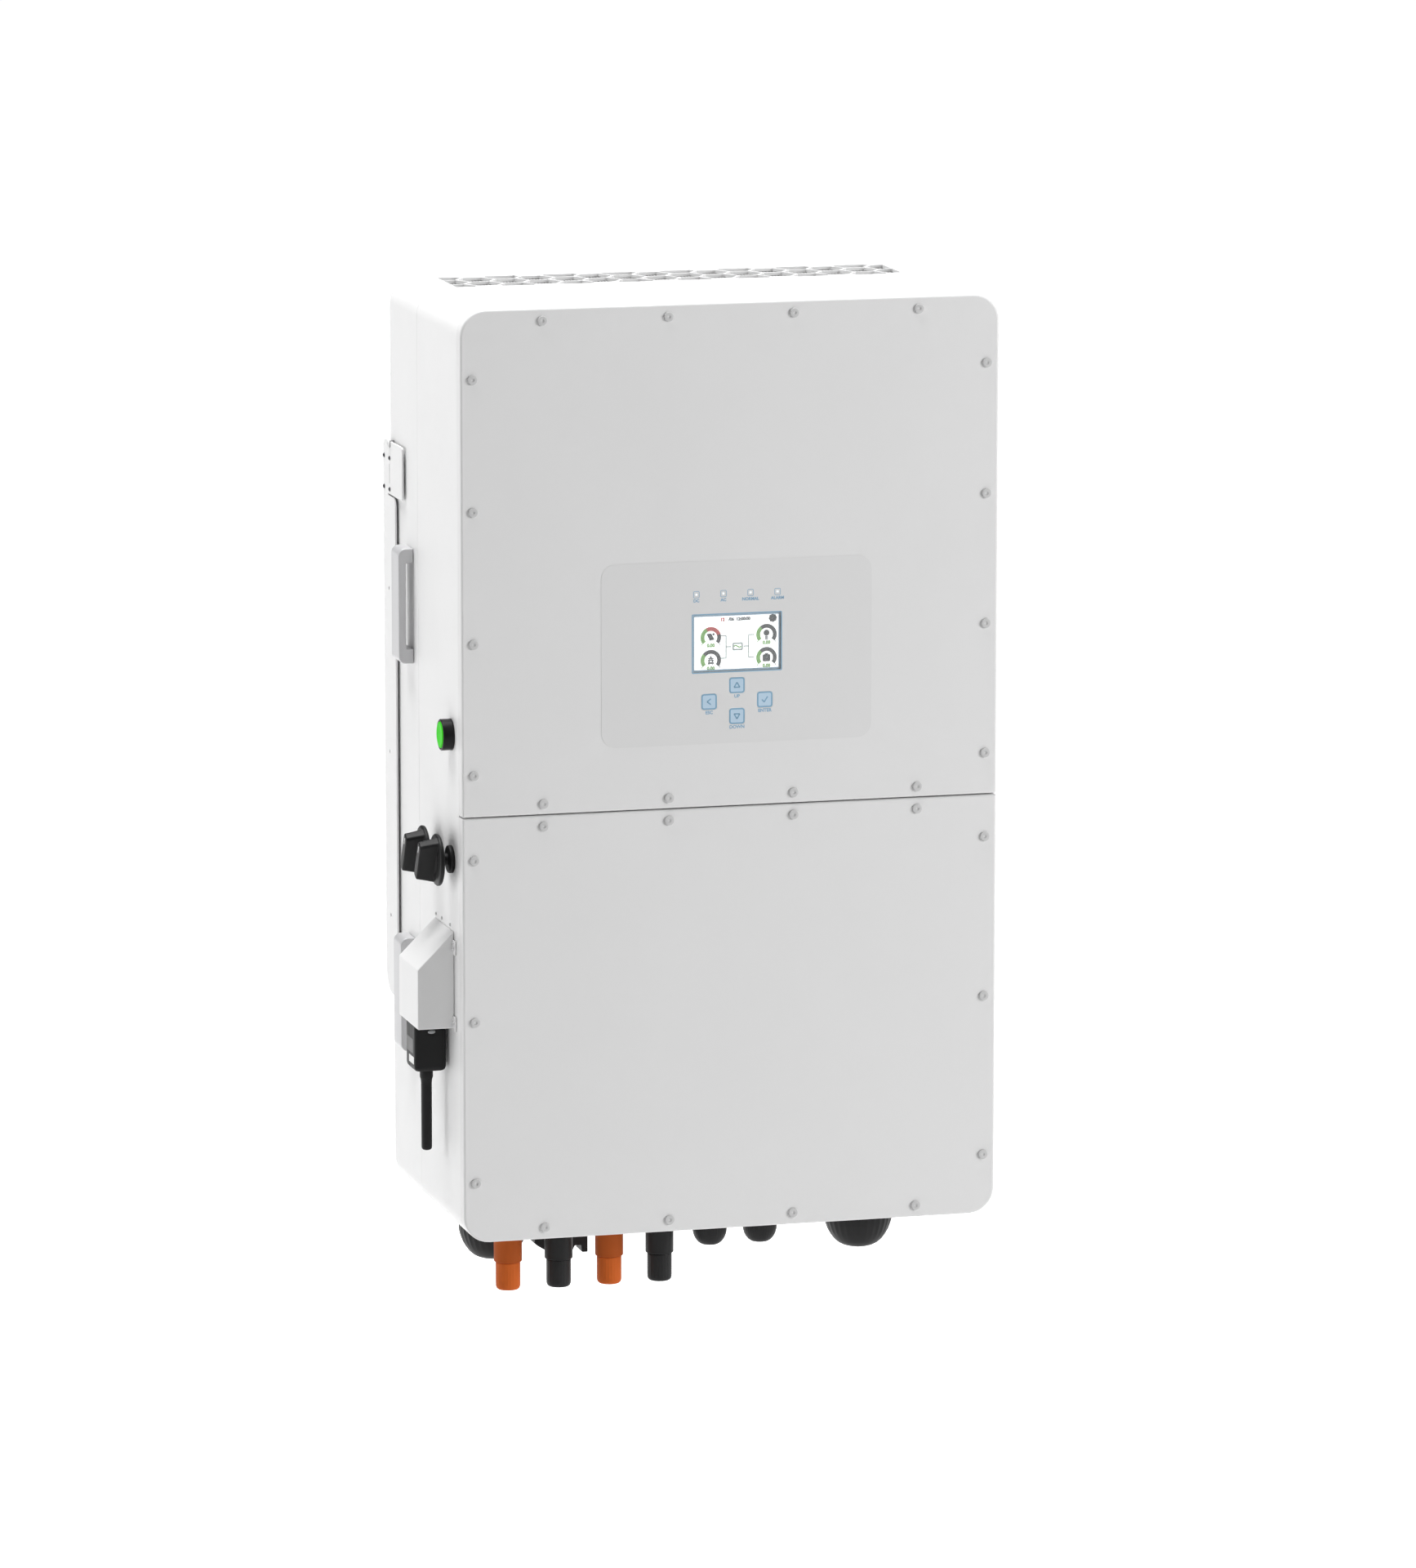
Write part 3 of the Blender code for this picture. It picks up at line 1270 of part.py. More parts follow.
def battery_connectors():
    """Capped battery connectors, plus poles orange and minus poles black."""
    orange, black = (0.55, 0.13, 0.03), (0.025, 0.025, 0.027)
    colours = {
        "battery_plus_1": orange, "battery_minus_1": black,
        "battery_plus_2": orange, "battery_minus_2": black,
    }
    step = BATTERY_TIP - BATTERY_CAP_H
    edge = 0.003
    profile = through_wall(PORT_NUT_R, PORT_NECK_R, 0.006) + [
        (BATTERY_FLANGE_R, -GAP), (BATTERY_FLANGE_R, -0.0035), (BATTERY_R, -0.0045),
        (BATTERY_R, -step), (BATTERY_CAP_R, -step - edge), (BATTERY_CAP_R, -BATTERY_TIP + edge),
        (BATTERY_CAP_R - edge, -BATTERY_TIP), (0, -BATTERY_TIP),
    ]
    for index, (name, colour) in enumerate(colours.items()):
        turned(
            name, profile, (port_x(index), depth_y(PORT_DEPTH), -HALF_H),
            material(name + "_plastic", colour, 0.45), SIDES_MIDDLE,
        )


def signal_glands():
    """Blanked signal glands, tapering to a dome nut."""
    profile = through_wall(PORT_NUT_R, PORT_NECK_R, 0.005) + [
        (0.0172, -GAP), (0.0168, -0.014), (0.0150, -0.0240), (0.0110, -0.0300),
        (0.0060, -SIGNAL_TIP), (0, -SIGNAL_TIP),
    ]
    for index in (1, 2):
        place = (port_x(PORT_COUNT - 3 + index), depth_y(PORT_DEPTH), -HALF_H)
        look = black_plastic("signal_gland_plastic_%d" % index)
        turned("signal_gland_%d" % index, profile, place, look, SIDES_MIDDLE)


def cable_glands():
    """Large blanked glands for the AC cables."""
    profile = through_wall(GLAND_NUT_R, GLAND_NECK_R, 0.008) + [
        (0.0395, -GAP), (0.0395, -0.0050), (0.0335, -0.0060), (0.0330, -0.0190),
        (0.0275, -0.0340), (0.0205, -0.0430), (0.0120, -CABLE_TIP), (0, -CABLE_TIP),
    ]
    for side, (x, depth) in CABLE_GLANDS.items():
        turned(
            "cable_gland_" + side, profile, (x, depth_y(depth), -HALF_H),
            black_plastic("cable_gland_plastic_" + side), SIDES_FINE,
        )


def pv_connectors():
    """Moulded strip with a row of capped PV sockets, its tongue passing through the bottom."""
    strip = block(
        "pv_connector_block",
        (PV_LEFT, depth_y(PV_FRONT), -HALF_H - PV_BASE_T),
        (PV_RIGHT, depth_y(PV_BACK), -HALF_H - GAP),
        black_plastic("pv_block_plastic"),
    )
    inset = PV_TONGUE_INSET
    tongue = block(
        "pv_tongue",
        (PV_LEFT + inset, depth_y(PV_FRONT + inset), -HALF_H - SHEET),
        (PV_RIGHT - inset, depth_y(PV_BACK - inset), -HALF_H + 4 * SHEET),
    )
    pitch = (PV_RIGHT - PV_LEFT) / PV_COUNT
    y = depth_y((PV_FRONT + PV_BACK) / 2)
    barrels = []
    for index in range(PV_COUNT):
        x = PV_LEFT + (index + 0.5) * pitch
        barrels.append(((x, y, -HALF_H - PV_TIP), (x, y, -HALF_H - PV_BASE_T + SHEET)))
    fuse(strip, tongue, rods("pv_barrels", PV_BARREL_R, barrels, "Z", 10))


def port_cover():
    """Snap-on cover of the meter and battery-signal port, with a latch hook on its right."""
    top = -HALF_H - GAP
    low = -HALF_H - PORT_COVER_DROP
    left, right = PORT_COVER_LEFT, PORT_COVER_RIGHT
    outline = [
        (left, top), (left, low), (left + 0.004, low - 0.003), (left + 0.013, low - 0.0085),
        (right - 0.015, low - 0.0085), (right - 0.013, low - 0.0040),
        (right - 0.0065, low - 0.0040), (right - 0.0058, low - 0.0110), (right, low - 0.0110),
        (right, top),
    ]
    cover = prism(
        "port_cover", [outline], depth_y(PORT_COVER_FRONT), depth_y(PORT_COVER_BACK), "XZ",
        black_plastic("port_cover_plastic"),
    )
    x, y = port_cover_middle()
    fuse(cover, rod(
        "port_plug", PORT_PLUG_R, (x, y, -HALF_H - SHEET), (x, y, -HALF_H + 3 * SHEET), "Z",
        SIDES_ROUND,
    ))


# ---------------------------------------------------------------------------------------------
# Inside the case


def power_board():
    """Main board on the rear wall of the upper compartment."""
    low_x, low_z, high_x, high_z = POWER_BOARD
    front = depth_y(POWER_BOARD_DEPTH)
    board = block(
        "power_board", (low_x, front, low_z), (high_x, front + POWER_BOARD_T, high_z),
        material("power_board_green", (0.02, 0.14, 0.06), 0.5),
    )
    inset = POWER_POST_INSET
    posts = [
        ((x, front + POWER_BOARD_T / 2, z), (x, depth_y(SIDE_SEAM - SHEET) - GAP, z))
        for x in (low_x + inset, high_x - inset) for z in (low_z + inset, high_z - inset)
    ]
    fuse(board, rods("power_board_posts", POWER_POST_R, posts, "Y"))


def capacitor_bank():
    """Row of capacitors on a carrier, in front of the power board."""
    half_w, half_h, thick = CAPACITOR_BASE
    y = depth_y(POWER_BOARD_DEPTH) - GAP
    bank = block(
        "capacitor_bank", (-half_w, y - thick, CAPACITOR_Z - half_h),
        (half_w, y, CAPACITOR_Z + half_h), material("capacitor_sleeve", (0.04, 0.05, 0.08), 0.4),
    )
    foot = y - thick / 2
    cans = []
    for column in range(CAPACITOR_COUNT):
        x = (column - (CAPACITOR_COUNT - 1) / 2) * CAPACITOR_PITCH
        cans.append(((x, foot - CAPACITOR_LENGTH, CAPACITOR_Z), (x, foot, CAPACITOR_Z)))
    fuse(bank, rods("capacitor_cans", CAPACITOR_R, cans, "Y", SIDES_MIDDLE))


def inductor_bank():
    """Three potted inductors on one tray."""
    half_w, half_h, thick = INDUCTOR_BASE
    width, length, height = INDUCTOR_SIZE
    y = depth_y(POWER_BOARD_DEPTH) - GAP
    bank = block(
        "inductor_bank", (-half_w, y - thick, INDUCTOR_Z - half_h),
        (half_w, y, INDUCTOR_Z + half_h),
        material("inductor_metal", (0.45, 0.46, 0.47), 0.5, 0.6),
    )
    foot = y - thick / 2
    for column in (-1, 0, 1):
        x = column * INDUCTOR_PITCH
        fuse(bank, block(
            "inductor_%d" % (column + 2),
            (x - width / 2, foot - length, INDUCTOR_Z - height / 2),
            (x + width / 2, foot, INDUCTOR_Z + height / 2),
        ))


def terminal_block(name, left, count, pitch, colour):
    """Strip of terminals with a barrier between neighbours, on the lower room's rear wall."""
    back = depth_y(SIDE_SEAM - SHEET) - GAP
    front = back - TERMINAL_DEPTH
    floor = front + TERMINAL_NOTCH
    outline = [(left, back), (left, front)]
    for index in range(count):
        start = left + index * pitch + BARRIER_HALF_T
        end = left + (index + 1) * pitch - BARRIER_HALF_T
        outline += [(start, front), (start, floor), (end, floor), (end, front)]
    outline += [(left + count * pitch, front), (left + count * pitch, back)]
    prism(
        name, [outline], TERMINAL_LOW_Z, TERMINAL_LOW_Z + TERMINAL_H, "XY",
        material(name + "_plastic", colour, 0.5),
    )


def main():
    clear_scene()
    front_housing()
    rear_shroud()
    heat_sink()
    top_grille()
    fan_tray()
    fan_frames()
    fan_impellers()
    covers()
    gaskets()
    screw_frames()
    operator_panel()
    display()
    keys()
    control_board()
    power_button()
    dc_switches()
    logger_hood()
    data_logger()
    handles()
    wall_bracket()
    hanger_rail()
    ear_bolts()
    battery_connectors()
    signal_glands()
    cable_glands()
    pv_connectors()
    port_cover()
    power_board()
    capacitor_bank()
    inductor_bank()
    terminal_block("ac_terminal_block", 0.020, 5, 0.034, (0.08, 0.08, 0.085))
    terminal_block("dc_terminal_block", -0.170, 4, 0.030, (0.30, 0.05, 0.03))


main()
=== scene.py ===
import math

import bmesh
import bpy
from mathutils import Matrix, Vector


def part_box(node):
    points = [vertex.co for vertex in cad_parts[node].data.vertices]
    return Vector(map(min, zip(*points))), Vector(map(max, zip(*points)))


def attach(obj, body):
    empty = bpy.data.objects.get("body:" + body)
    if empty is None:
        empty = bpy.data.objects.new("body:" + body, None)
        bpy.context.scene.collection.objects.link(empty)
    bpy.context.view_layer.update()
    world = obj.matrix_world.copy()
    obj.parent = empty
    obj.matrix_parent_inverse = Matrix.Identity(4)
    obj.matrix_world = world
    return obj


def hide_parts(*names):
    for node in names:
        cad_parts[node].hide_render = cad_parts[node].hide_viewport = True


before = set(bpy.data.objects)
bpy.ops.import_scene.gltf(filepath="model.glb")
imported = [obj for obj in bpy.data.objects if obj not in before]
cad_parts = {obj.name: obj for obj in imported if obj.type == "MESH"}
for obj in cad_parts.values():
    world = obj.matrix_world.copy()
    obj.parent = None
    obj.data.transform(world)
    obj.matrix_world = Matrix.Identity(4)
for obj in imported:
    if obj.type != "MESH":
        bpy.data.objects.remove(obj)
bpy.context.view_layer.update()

# Looks of the wall-hung string inverter.
#
# Everything is in metres.  +X is the viewer's right, the covers face -Y, +Z is up, and the wall is
# the plane Y = 0.  The CAD boxes place every piece.

SHEET = 0.003
CASE_R = 0.025
GAP = 0.0003               # play between pieces that meet
SMOOTH_ANGLE = math.radians(30)

# ------------------------------------------------------------------------------------------
# Materials


def new_material(name):
    made = bpy.data.materials.new(name)
    made.use_nodes = True
    tree = made.node_tree
    return made, tree, tree.nodes["Principled BSDF"]


def add_node(tree, kind, **values):
    made = tree.nodes.new(kind)
    for key, value in values.items():
        if key in made.inputs:
            made.inputs[key].default_value = value
        else:
            setattr(made, key, value)
    return made


def noise(tree, scale, detail=2.0, stretch=None):
    """Noise in object space, optionally stretched along the axes."""
    place = add_node(tree, "ShaderNodeTexCoord")
    source = place.outputs["Object"]
    if stretch:
        mapping = add_node(tree, "ShaderNodeMapping")
        mapping.inputs["Scale"].default_value = stretch
        tree.links.new(source, mapping.inputs["Vector"])
        source = mapping.outputs["Vector"]
    texture = add_node(tree, "ShaderNodeTexNoise", Scale=scale, Detail=detail)
    tree.links.new(source, texture.inputs["Vector"])
    return texture.outputs["Fac"]


def mapped(tree, value, low, high):
    spread = add_node(tree, "ShaderNodeMapRange")
    spread.inputs["From Min"].default_value = 0.25
    spread.inputs["From Max"].default_value = 0.75
    spread.inputs["To Min"].default_value = low
    spread.inputs["To Max"].default_value = high
    tree.links.new(value, spread.inputs["Value"])
    return spread.outputs["Result"]


def tinted(tree, value, colour, change):
    """Colour that a noise value makes a little darker or lighter."""
    mix = add_node(tree, "ShaderNodeMix", data_type="RGBA")
    mix.inputs[6].default_value = (*[c * (1 - change) for c in colour], 1)
    mix.inputs[7].default_value = (*[min(c * (1 + change), 1) for c in colour], 1)
    tree.links.new(value, mix.inputs[0])
    return mix.outputs[2]


def surface(name, colour, roughness, metallic=0.0, grain=900.0, bump=0.00002, change=0.03,
            patch=9.0, spread=0.05, stretch=None, coat=0.0, ior=1.5, emission=None):
    """Principled material: patchy colour, patchy roughness, and a fine bump."""
    made, tree, shader = new_material(name)
    patches = noise(tree, patch, 3.0)
    fine = noise(tree, grain, 2.0, stretch)
    tree.links.new(tinted(tree, patches, colour, change), shader.inputs["Base Color"])
    tree.links.new(
        mapped(tree, noise(tree, patch * 7, 3.0, stretch), roughness - spread, roughness + spread),
        shader.inputs["Roughness"],
    )
    relief = add_node(tree, "ShaderNodeBump", Strength=1.0, Distance=bump)
    tree.links.new(fine, relief.inputs["Height"])
    tree.links.new(relief.outputs["Normal"], shader.inputs["Normal"])
    shader.inputs["Metallic"].default_value = metallic
    shader.inputs["Coat Weight"].default_value = coat
    shader.inputs["IOR"].default_value = ior
    if emission:
        tree.links.new(tinted(tree, patches, emission[0], change), shader.inputs["Emission Color"])
        shader.inputs["Emission Strength"].default_value = emission[1]
    return made


def glass(name):
    made, tree, shader = new_material(name)
    tree.links.new(mapped(tree, noise(tree, 40), 0.03, 0.09), shader.inputs["Roughness"])
    tree.links.new(
        tinted(tree, noise(tree, 8), (0.93, 0.96, 0.97), 0.02), shader.inputs["Base Color"]
    )
    shader.inputs["Alpha"].default_value = 0.12
    shader.inputs["IOR"].default_value = 1.5
    return made


def floor_white(name):
    """Pale floor that glows behind the object, so that it ends in plain white."""
    made, tree, shader = new_material(name)
    tree.links.new(
        tinted(tree, noise(tree, 0.6, 3.0), (0.92, 0.92, 0.92), 0.004), shader.inputs["Base Color"]
    )
    tree.links.new(mapped(tree, noise(tree, 3.0), 0.75, 0.85), shader.inputs["Roughness"])
    place_of = add_node(tree, "ShaderNodeTexCoord")
    split = add_node(tree, "ShaderNodeSeparateXYZ")
    tree.links.new(place_of.outputs["Object"], split.inputs["Vector"])
    glow = add_node(tree, "ShaderNodeMapRange")
    for socket, value in zip(("From Min", "From Max", "To Min", "To Max"), FLOOR_GLOW):
        glow.inputs[socket].default_value = value
    tree.links.new(split.outputs["Y"], glow.inputs["Value"])
    tree.links.new(glow.outputs["Result"], shader.inputs["Emission Strength"])
    shader.inputs["Emission Color"].default_value = (1.0, 1.0, 1.0, 1.0)
    return made


FLOOR_GLOW = (0.4, 1.2, 0.05, 0.91)    # from and to depth in metres, strength in front and behind
WHITE = (0.87, 0.87, 0.87)
COVER = (0.80, 0.80, 0.80)
FILM = (0.766, 0.766, 0.766)
BLACK = (0.017, 0.017, 0.0175)
BLUE_LINE = (0.24, 0.43, 0.60)
BLUE_FILL = (0.53, 0.69, 0.83)

LOOKS = {
    "housing_paint": surface("housing_paint", WHITE, 0.46, grain=700, bump=0.00003),
    "cover_paint": surface("cover_paint", COVER, 0.50, grain=700, bump=0.00003, change=0.015),
    "panel_film": surface("panel_film", FILM, 0.42, grain=2200, bump=0.00001, change=0.01),
    "key_film": surface("key_film", BLUE_FILL, 0.42, grain=2200, bump=0.00001, change=0.02),
    "blue_print": surface("blue_print", BLUE_LINE, 0.5, grain=3000, bump=0.000004, change=0.04),
    "black_plastic": surface("black_plastic", BLACK, 0.46, grain=1600, bump=0.00003, change=0.12,
                             ior=1.3),
    "black_satin": surface("black_satin", (0.010, 0.010, 0.0105), 0.32, grain=2400, bump=0.00001,
                           change=0.1, ior=1.3),
    "black_rubber": surface("black_rubber", (0.018, 0.018, 0.018), 0.75, grain=1200, bump=0.00003,
                            change=0.1),
    "orange_plastic": surface("orange_plastic", (0.55, 0.115, 0.020), 0.55, grain=1600,
                              bump=0.00002, change=0.05, ior=1.2),
    "satin_metal": surface("satin_metal", (0.62, 0.62, 0.63), 0.42, metallic=0.2, grain=1400,
                           bump=0.00001, stretch=(1.0, 1.0, 0.03), spread=0.06),
    "screw_steel": surface("screw_steel", (0.60, 0.60, 0.60), 0.60, metallic=0.0, grain=2600,
                           bump=0.00001, spread=0.06),
    "zinc_steel": surface("zinc_steel", (0.56, 0.57, 0.58), 0.40, metallic=1.0, grain=500,
                          bump=0.00001, change=0.10, patch=60, spread=0.08),
    "dark_bolt": surface("dark_bolt", (0.10, 0.10, 0.105), 0.38, metallic=1.0, grain=1800,
                         bump=0.00001),
    "aluminium": surface("aluminium", (0.60, 0.61, 0.62), 0.42, metallic=1.0, grain=1500,
                         bump=0.00002, stretch=(1.0, 1.0, 0.02), spread=0.08),
    "green_cap": surface("green_cap", (0.050, 0.62, 0.018), 0.45, grain=2200, bump=0.00001,
                         change=0.05, ior=1.15, emission=((0.04, 0.70, 0.015), 0.12)),
    "lamp_white": surface("lamp_white", (0.90, 0.94, 0.97), 0.3, grain=3000, bump=0.000005,
                          emission=((0.92, 0.97, 1.0), 0.35)),
    "screen_white": surface("screen_white", (0.90, 0.92, 0.93), 0.35, grain=5000, bump=0.000002,
                            change=0.01, emission=((0.97, 0.99, 1.0), 0.75)),
    "screen_black": surface("screen_black", (0.02, 0.02, 0.022), 0.4, grain=5000, bump=0.000002),
    "screen_grey": surface("screen_grey", (0.12, 0.13, 0.135), 0.4, grain=5000, bump=0.000002),
    "screen_green": surface("screen_green", (0.22, 0.50, 0.09), 0.4, grain=5000, bump=0.000002),
    "screen_red": surface("screen_red", (0.60, 0.06, 0.05), 0.4, grain=5000, bump=0.000002),
    "screen_blue": surface("screen_blue", (0.36, 0.52, 0.66), 0.4, grain=5000, bump=0.000002),
    "screen_pale": surface("screen_pale", (0.40, 0.47, 0.44), 0.4, grain=5000, bump=0.000002),
    "hood_paint": surface("hood_paint", WHITE, 0.48, grain=700, bump=0.00003),
    # Darker copy of the orange plastic: painted shade on the plus sleeves, where the case bottom
    # shades them.
    "orange_painted_shade": surface("orange_painted_shade", (0.40, 0.085, 0.016), 0.55, grain=1600, bump=0.00002,
                           change=0.05, ior=1.2),
    "label_grey_light": surface("label_grey_light", (0.45, 0.46, 0.47), 0.2, grain=3000,
                                bump=0.000003),
    "mesh_grey": surface("mesh_grey", (0.50, 0.50, 0.50), 0.6, grain=1200, bump=0.00001),
    "floor_white": floor_white("floor_white"),
    "label_white": surface("label_white", (0.86, 0.86, 0.85), 0.5, grain=3000, bump=0.000003),
    "label_grey": surface("label_grey", (0.07, 0.07, 0.07), 0.4, grain=3000, bump=0.000003),
    "clear_plastic": surface("clear_plastic", (0.85, 0.92, 0.98), 0.2, grain=800, bump=0.000005),
    "board_mask": surface("board_mask", (0.02, 0.15, 0.06), 0.4, grain=260, bump=0.00005, patch=40,
                          change=0.25),
    "sleeve": surface("sleeve", (0.04, 0.05, 0.08), 0.35, grain=900, bump=0.00001, change=0.1),
    "potting": surface("potting", (0.40, 0.41, 0.42), 0.5, metallic=0.6, grain=300, bump=0.00005),
    "terminal_red": surface("terminal_red", (0.30, 0.05, 0.03), 0.45, grain=1500, bump=0.00002),
    "window_glass": glass("window_glass"),
}

# ------------------------------------------------------------------------------------------
# Mesh helpers


def add_object(name, shape, look, smooth=True):
    """Turn a bmesh into a linked object with one material."""
    bmesh.ops.recalc_face_normals(shape, faces=shape.faces)
    mesh = bpy.data.meshes.new(name)
    shape.to_mesh(mesh)
    shape.free()
    if smooth:
        mesh.shade_smooth()
    mesh.materials.append(LOOKS[look])
    thing = bpy.data.objects.new(name, mesh)
    bpy.context.scene.collection.objects.link(thing)
    return thing


def soften(thing, width=0.0, segments=2, angle=SMOOTH_ANGLE):
    """Rounded edges, and normals that keep flat faces flat."""
    if width:
        edge = thing.modifiers.new("edges", "BEVEL")
        edge.width = width
        edge.segments = segments
        edge.limit_method = "ANGLE"
        edge.angle_limit = angle
        edge.use_clamp_overlap = True
    normals = thing.modifiers.new("normals", "WEIGHTED_NORMAL")
    normals.keep_sharp = True
    normals.weight = 80
    return thing


def place(thing, slot, *nodes, body="enclosure"):
    """Attach the piece to the body it rides on and hide the nodes that it stands for; the slot is
    not used.
    """
    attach(thing, body)
    if nodes:
        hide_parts(*nodes)
    return thing


def evaluated_mesh(thing):
    bpy.context.view_layer.update()
    found = thing.evaluated_get(bpy.context.evaluated_depsgraph_get())
    return bpy.data.meshes.new_from_object(found)


def combine(thing, other, operation):
    """Join another object to this one or cut it out for good, and remove the other."""
    change = thing.modifiers.new("combine", "BOOLEAN")
    change.operation = operation
    change.solver = "EXACT"
    change.object = other
    made = evaluated_mesh(thing)
    thing.modifiers.clear()
    old = thing.data
    thing.data = made
    bpy.data.meshes.remove(old)
    bpy.data.objects.remove(other)
    made.shade_smooth()
    return thing


def carve(thing, cutter_shape):
    """Cut a bmesh out of an object for good."""
    bmesh.ops.recalc_face_normals(cutter_shape, faces=cutter_shape.faces)
    mesh = bpy.data.meshes.new("cutter")
    cutter_shape.to_mesh(mesh)
    cutter_shape.free()
    cutter = bpy.data.objects.new("cutter", mesh)
    bpy.context.scene.collection.objects.link(cutter)
    return combine(thing, cutter, "DIFFERENCE")


def corner_ring(half_w, half_h, radius, steps=8, centre=(0.0, 0.0)):
    """Rounded rectangle as (across, up) points; each corner has its own radius or shares one."""
    radii = radius if isinstance(radius, tuple) else (radius,) * 4
    points = []
    corners = ((-1, -1, 180), (1, -1, 270), (1, 1, 0), (-1, 1, 90))
    for (sx, sz, start), corner in zip(corners, radii):
        corner = max(corner, 0.0002)
        cx = centre[0] + sx * (half_w - corner)
        cz = centre[1] + sz * (half_h - corner)
        for step in range(steps + 1):
            angle = math.radians(start + 90 * step / steps)
            points.append((cx + corner * math.cos(angle), cz + corner * math.sin(angle)))
    return points


def arc_points(centre, radius, start, end, steps):
    points = []
    for step in range(steps + 1):
        angle = math.radians(start + (end - start) * step / steps)
        points.append((centre[0] + radius * math.cos(angle), centre[1] + radius * math.sin(angle)))
    return points


def in_space(point, level, plane):
    """Point of a drawing plane at a level across it."""
    across, up = point
    return {"XZ": (across, level, up), "YZ": (level, across, up), "XY": (across, up, level)}[plane]


def loft(shape, rings, cap_start=True, cap_end=True, closed=False):
    """Skin rings of 3-D points that have the same count."""
    rows = [[shape.verts.new(point) for point in ring] for ring in rings]
    count = len(rows[0])
    pairs = list(zip(rows, rows[1:]))
    if closed:
        pairs.append((rows[-1], rows[0]))
    for lower, upper in pairs:
        for index in range(count):
            after = (index + 1) % count
            shape.faces.new((lower[index], lower[after], upper[after], upper[index]))
    if not closed:
        if cap_start:
            shape.faces.new(rows[0])
        if cap_end:
            shape.faces.new(rows[-1])
    return shape


def prism(shape, outline, start, end, plane):
    return loft(shape, [[in_space(p, level, plane) for p in outline] for level in (start, end)])


def block(shape, low, high):
    return prism(
        shape, [(low[0], low[1]), (high[0], low[1]), (high[0], high[1]), (low[0], high[1])],
        low[2], high[2], "XY",
    )


def frame_axes(direction):
    """Two directions across an axis, so that lathe profiles can point along it."""
    direction = Vector(direction).normalized()
    helper = Vector((0, 0, 1)) if abs(direction.z) < 0.9 else Vector((1, 0, 0))
    first = direction.cross(helper).normalized()
    return first, direction.cross(first), direction


def lathe(shape, profile, centre, direction, segments=48, wobble=None):
    """Turn (radius, height) points about an axis; wobble(height index, angle) scales a radius."""
    first, second, along = frame_axes(direction)
    centre = Vector(centre)
    rows = []
    for level, (radius, height) in enumerate(profile):
        if radius <= 0:
            rows.append([shape.verts.new(centre + along * height)])
            continue
        row = []
        for index in range(segments):
            angle = 2 * math.pi * index / segments
            scaled = radius * (wobble(level, angle) if wobble else 1.0)
            offset = first * math.cos(angle) + second * math.sin(angle)
            row.append(shape.verts.new(centre + offset * scaled + along * height))
        rows.append(row)
    for upper, lower in zip(rows, rows[1:]):
        for index in range(segments):
            after = (index + 1) % segments
            corners = [
                upper[index % len(upper)], upper[after % len(upper)],
                lower[after % len(lower)], lower[index % len(lower)],
            ]
            kept = []
            for corner in corners:
                if corner not in kept:
                    kept.append(corner)
            shape.faces.new(kept)
    return shape


def rounded(profile, radius, steps=4):
    """Round the inner corners of a (radius, height) profile."""
    points = [Vector(p) for p in profile]
    result = [profile[0]]
    for before, here, after in zip(points, points[1:], points[2:]):
        to_before, to_after = before - here, after - here
        reach = min(radius, to_before.length * 0.45, to_after.length * 0.45)
        start = here + to_before.normalized() * reach
        end = here + to_after.normalized() * reach
        for step in range(steps + 1):
            share = step / steps
            point = start * (1 - share) ** 2 + here * 2 * share * (1 - share) + end * share ** 2
            result.append((point.x, point.y))
    result.append(profile[-1])
    return result


def edge_arc(radius, steps=4):
    """(inset, advance) pairs of a quarter round, from the side towards the face."""
    pairs = []
    for step in range(steps + 1):
        angle = math.pi / 2 * step / steps
        pairs.append((radius * (1 - math.cos(angle)), radius * math.sin(angle)))
    return pairs


def settle(thing):
    """Apply the modifiers for good, so that later cuts work on the rounded shape."""
    made = evaluated_mesh(thing)
    thing.modifiers.clear()
    thing.data = made
    return thing


def drill(shape, start, direction, radius, length, segments=32):
    """Cylinder for a cutter, from a point along a direction."""
    profile = [(0, 0), (radius, 0), (radius, length), (0, length)]
    return lathe(shape, profile, start, direction, segments)


def middle(node):
    low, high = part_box(node)
    return (low + high) / 2


def clusters(node, keep, reach):
    """Middles of the groups of a node's vertices that pass a test."""
    groups = []
    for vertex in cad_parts[node].data.vertices:
        point = vertex.co
        if not keep(point):
            continue
        for group in groups:
            if (group[0] - point).length < reach:
                group.append(point.copy())
                break
        else:
            groups.append([point.copy()])
    found = []
    for group in groups:
        low = Vector([min(p[axis] for p in group) for axis in range(3)])
        high = Vector([max(p[axis] for p in group) for axis in range(3)])
        found.append((low + high) / 2)
    return found


def polygon_plate(shape, points, y_back, y_front):
    return prism(shape, points, y_back, y_front, "XZ")


def disc_points(centre, radius, count=24):
    return [
        (centre[0] + radius * math.cos(2 * math.pi * i / count),
         centre[1] + radius * math.sin(2 * math.pi * i / count))
        for i in range(count)
    ]


def band(shape, centre, inner, outer, start, end, y_back, y_front, steps=24):
    """Flat arc with a rectangular section; angles in degrees, counter-clockwise from +X."""
    rings = []
    for step in range(steps + 1):
        angle = math.radians(start + (end - start) * step / steps)
        across, up = math.cos(angle), math.sin(angle)
        rings.append([
            (centre[0] + radius * across, y, centre[1] + radius * up)
            for radius, y in ((inner, y_back), (outer, y_back), (outer, y_front), (inner, y_front))
        ])
    return loft(shape, rings)


def stroke(shape, start, end, width, y_back, y_front):
    """Flat bar between two (x, z) points."""
    start, end = Vector(start), Vector(end)
    along = (end - start).normalized()
    side = Vector((-along.y, along.x)) * width / 2
    points = [start + side, end + side, end - side, start - side]
    return polygon_plate(shape, [tuple(p) for p in points], y_back, y_front)


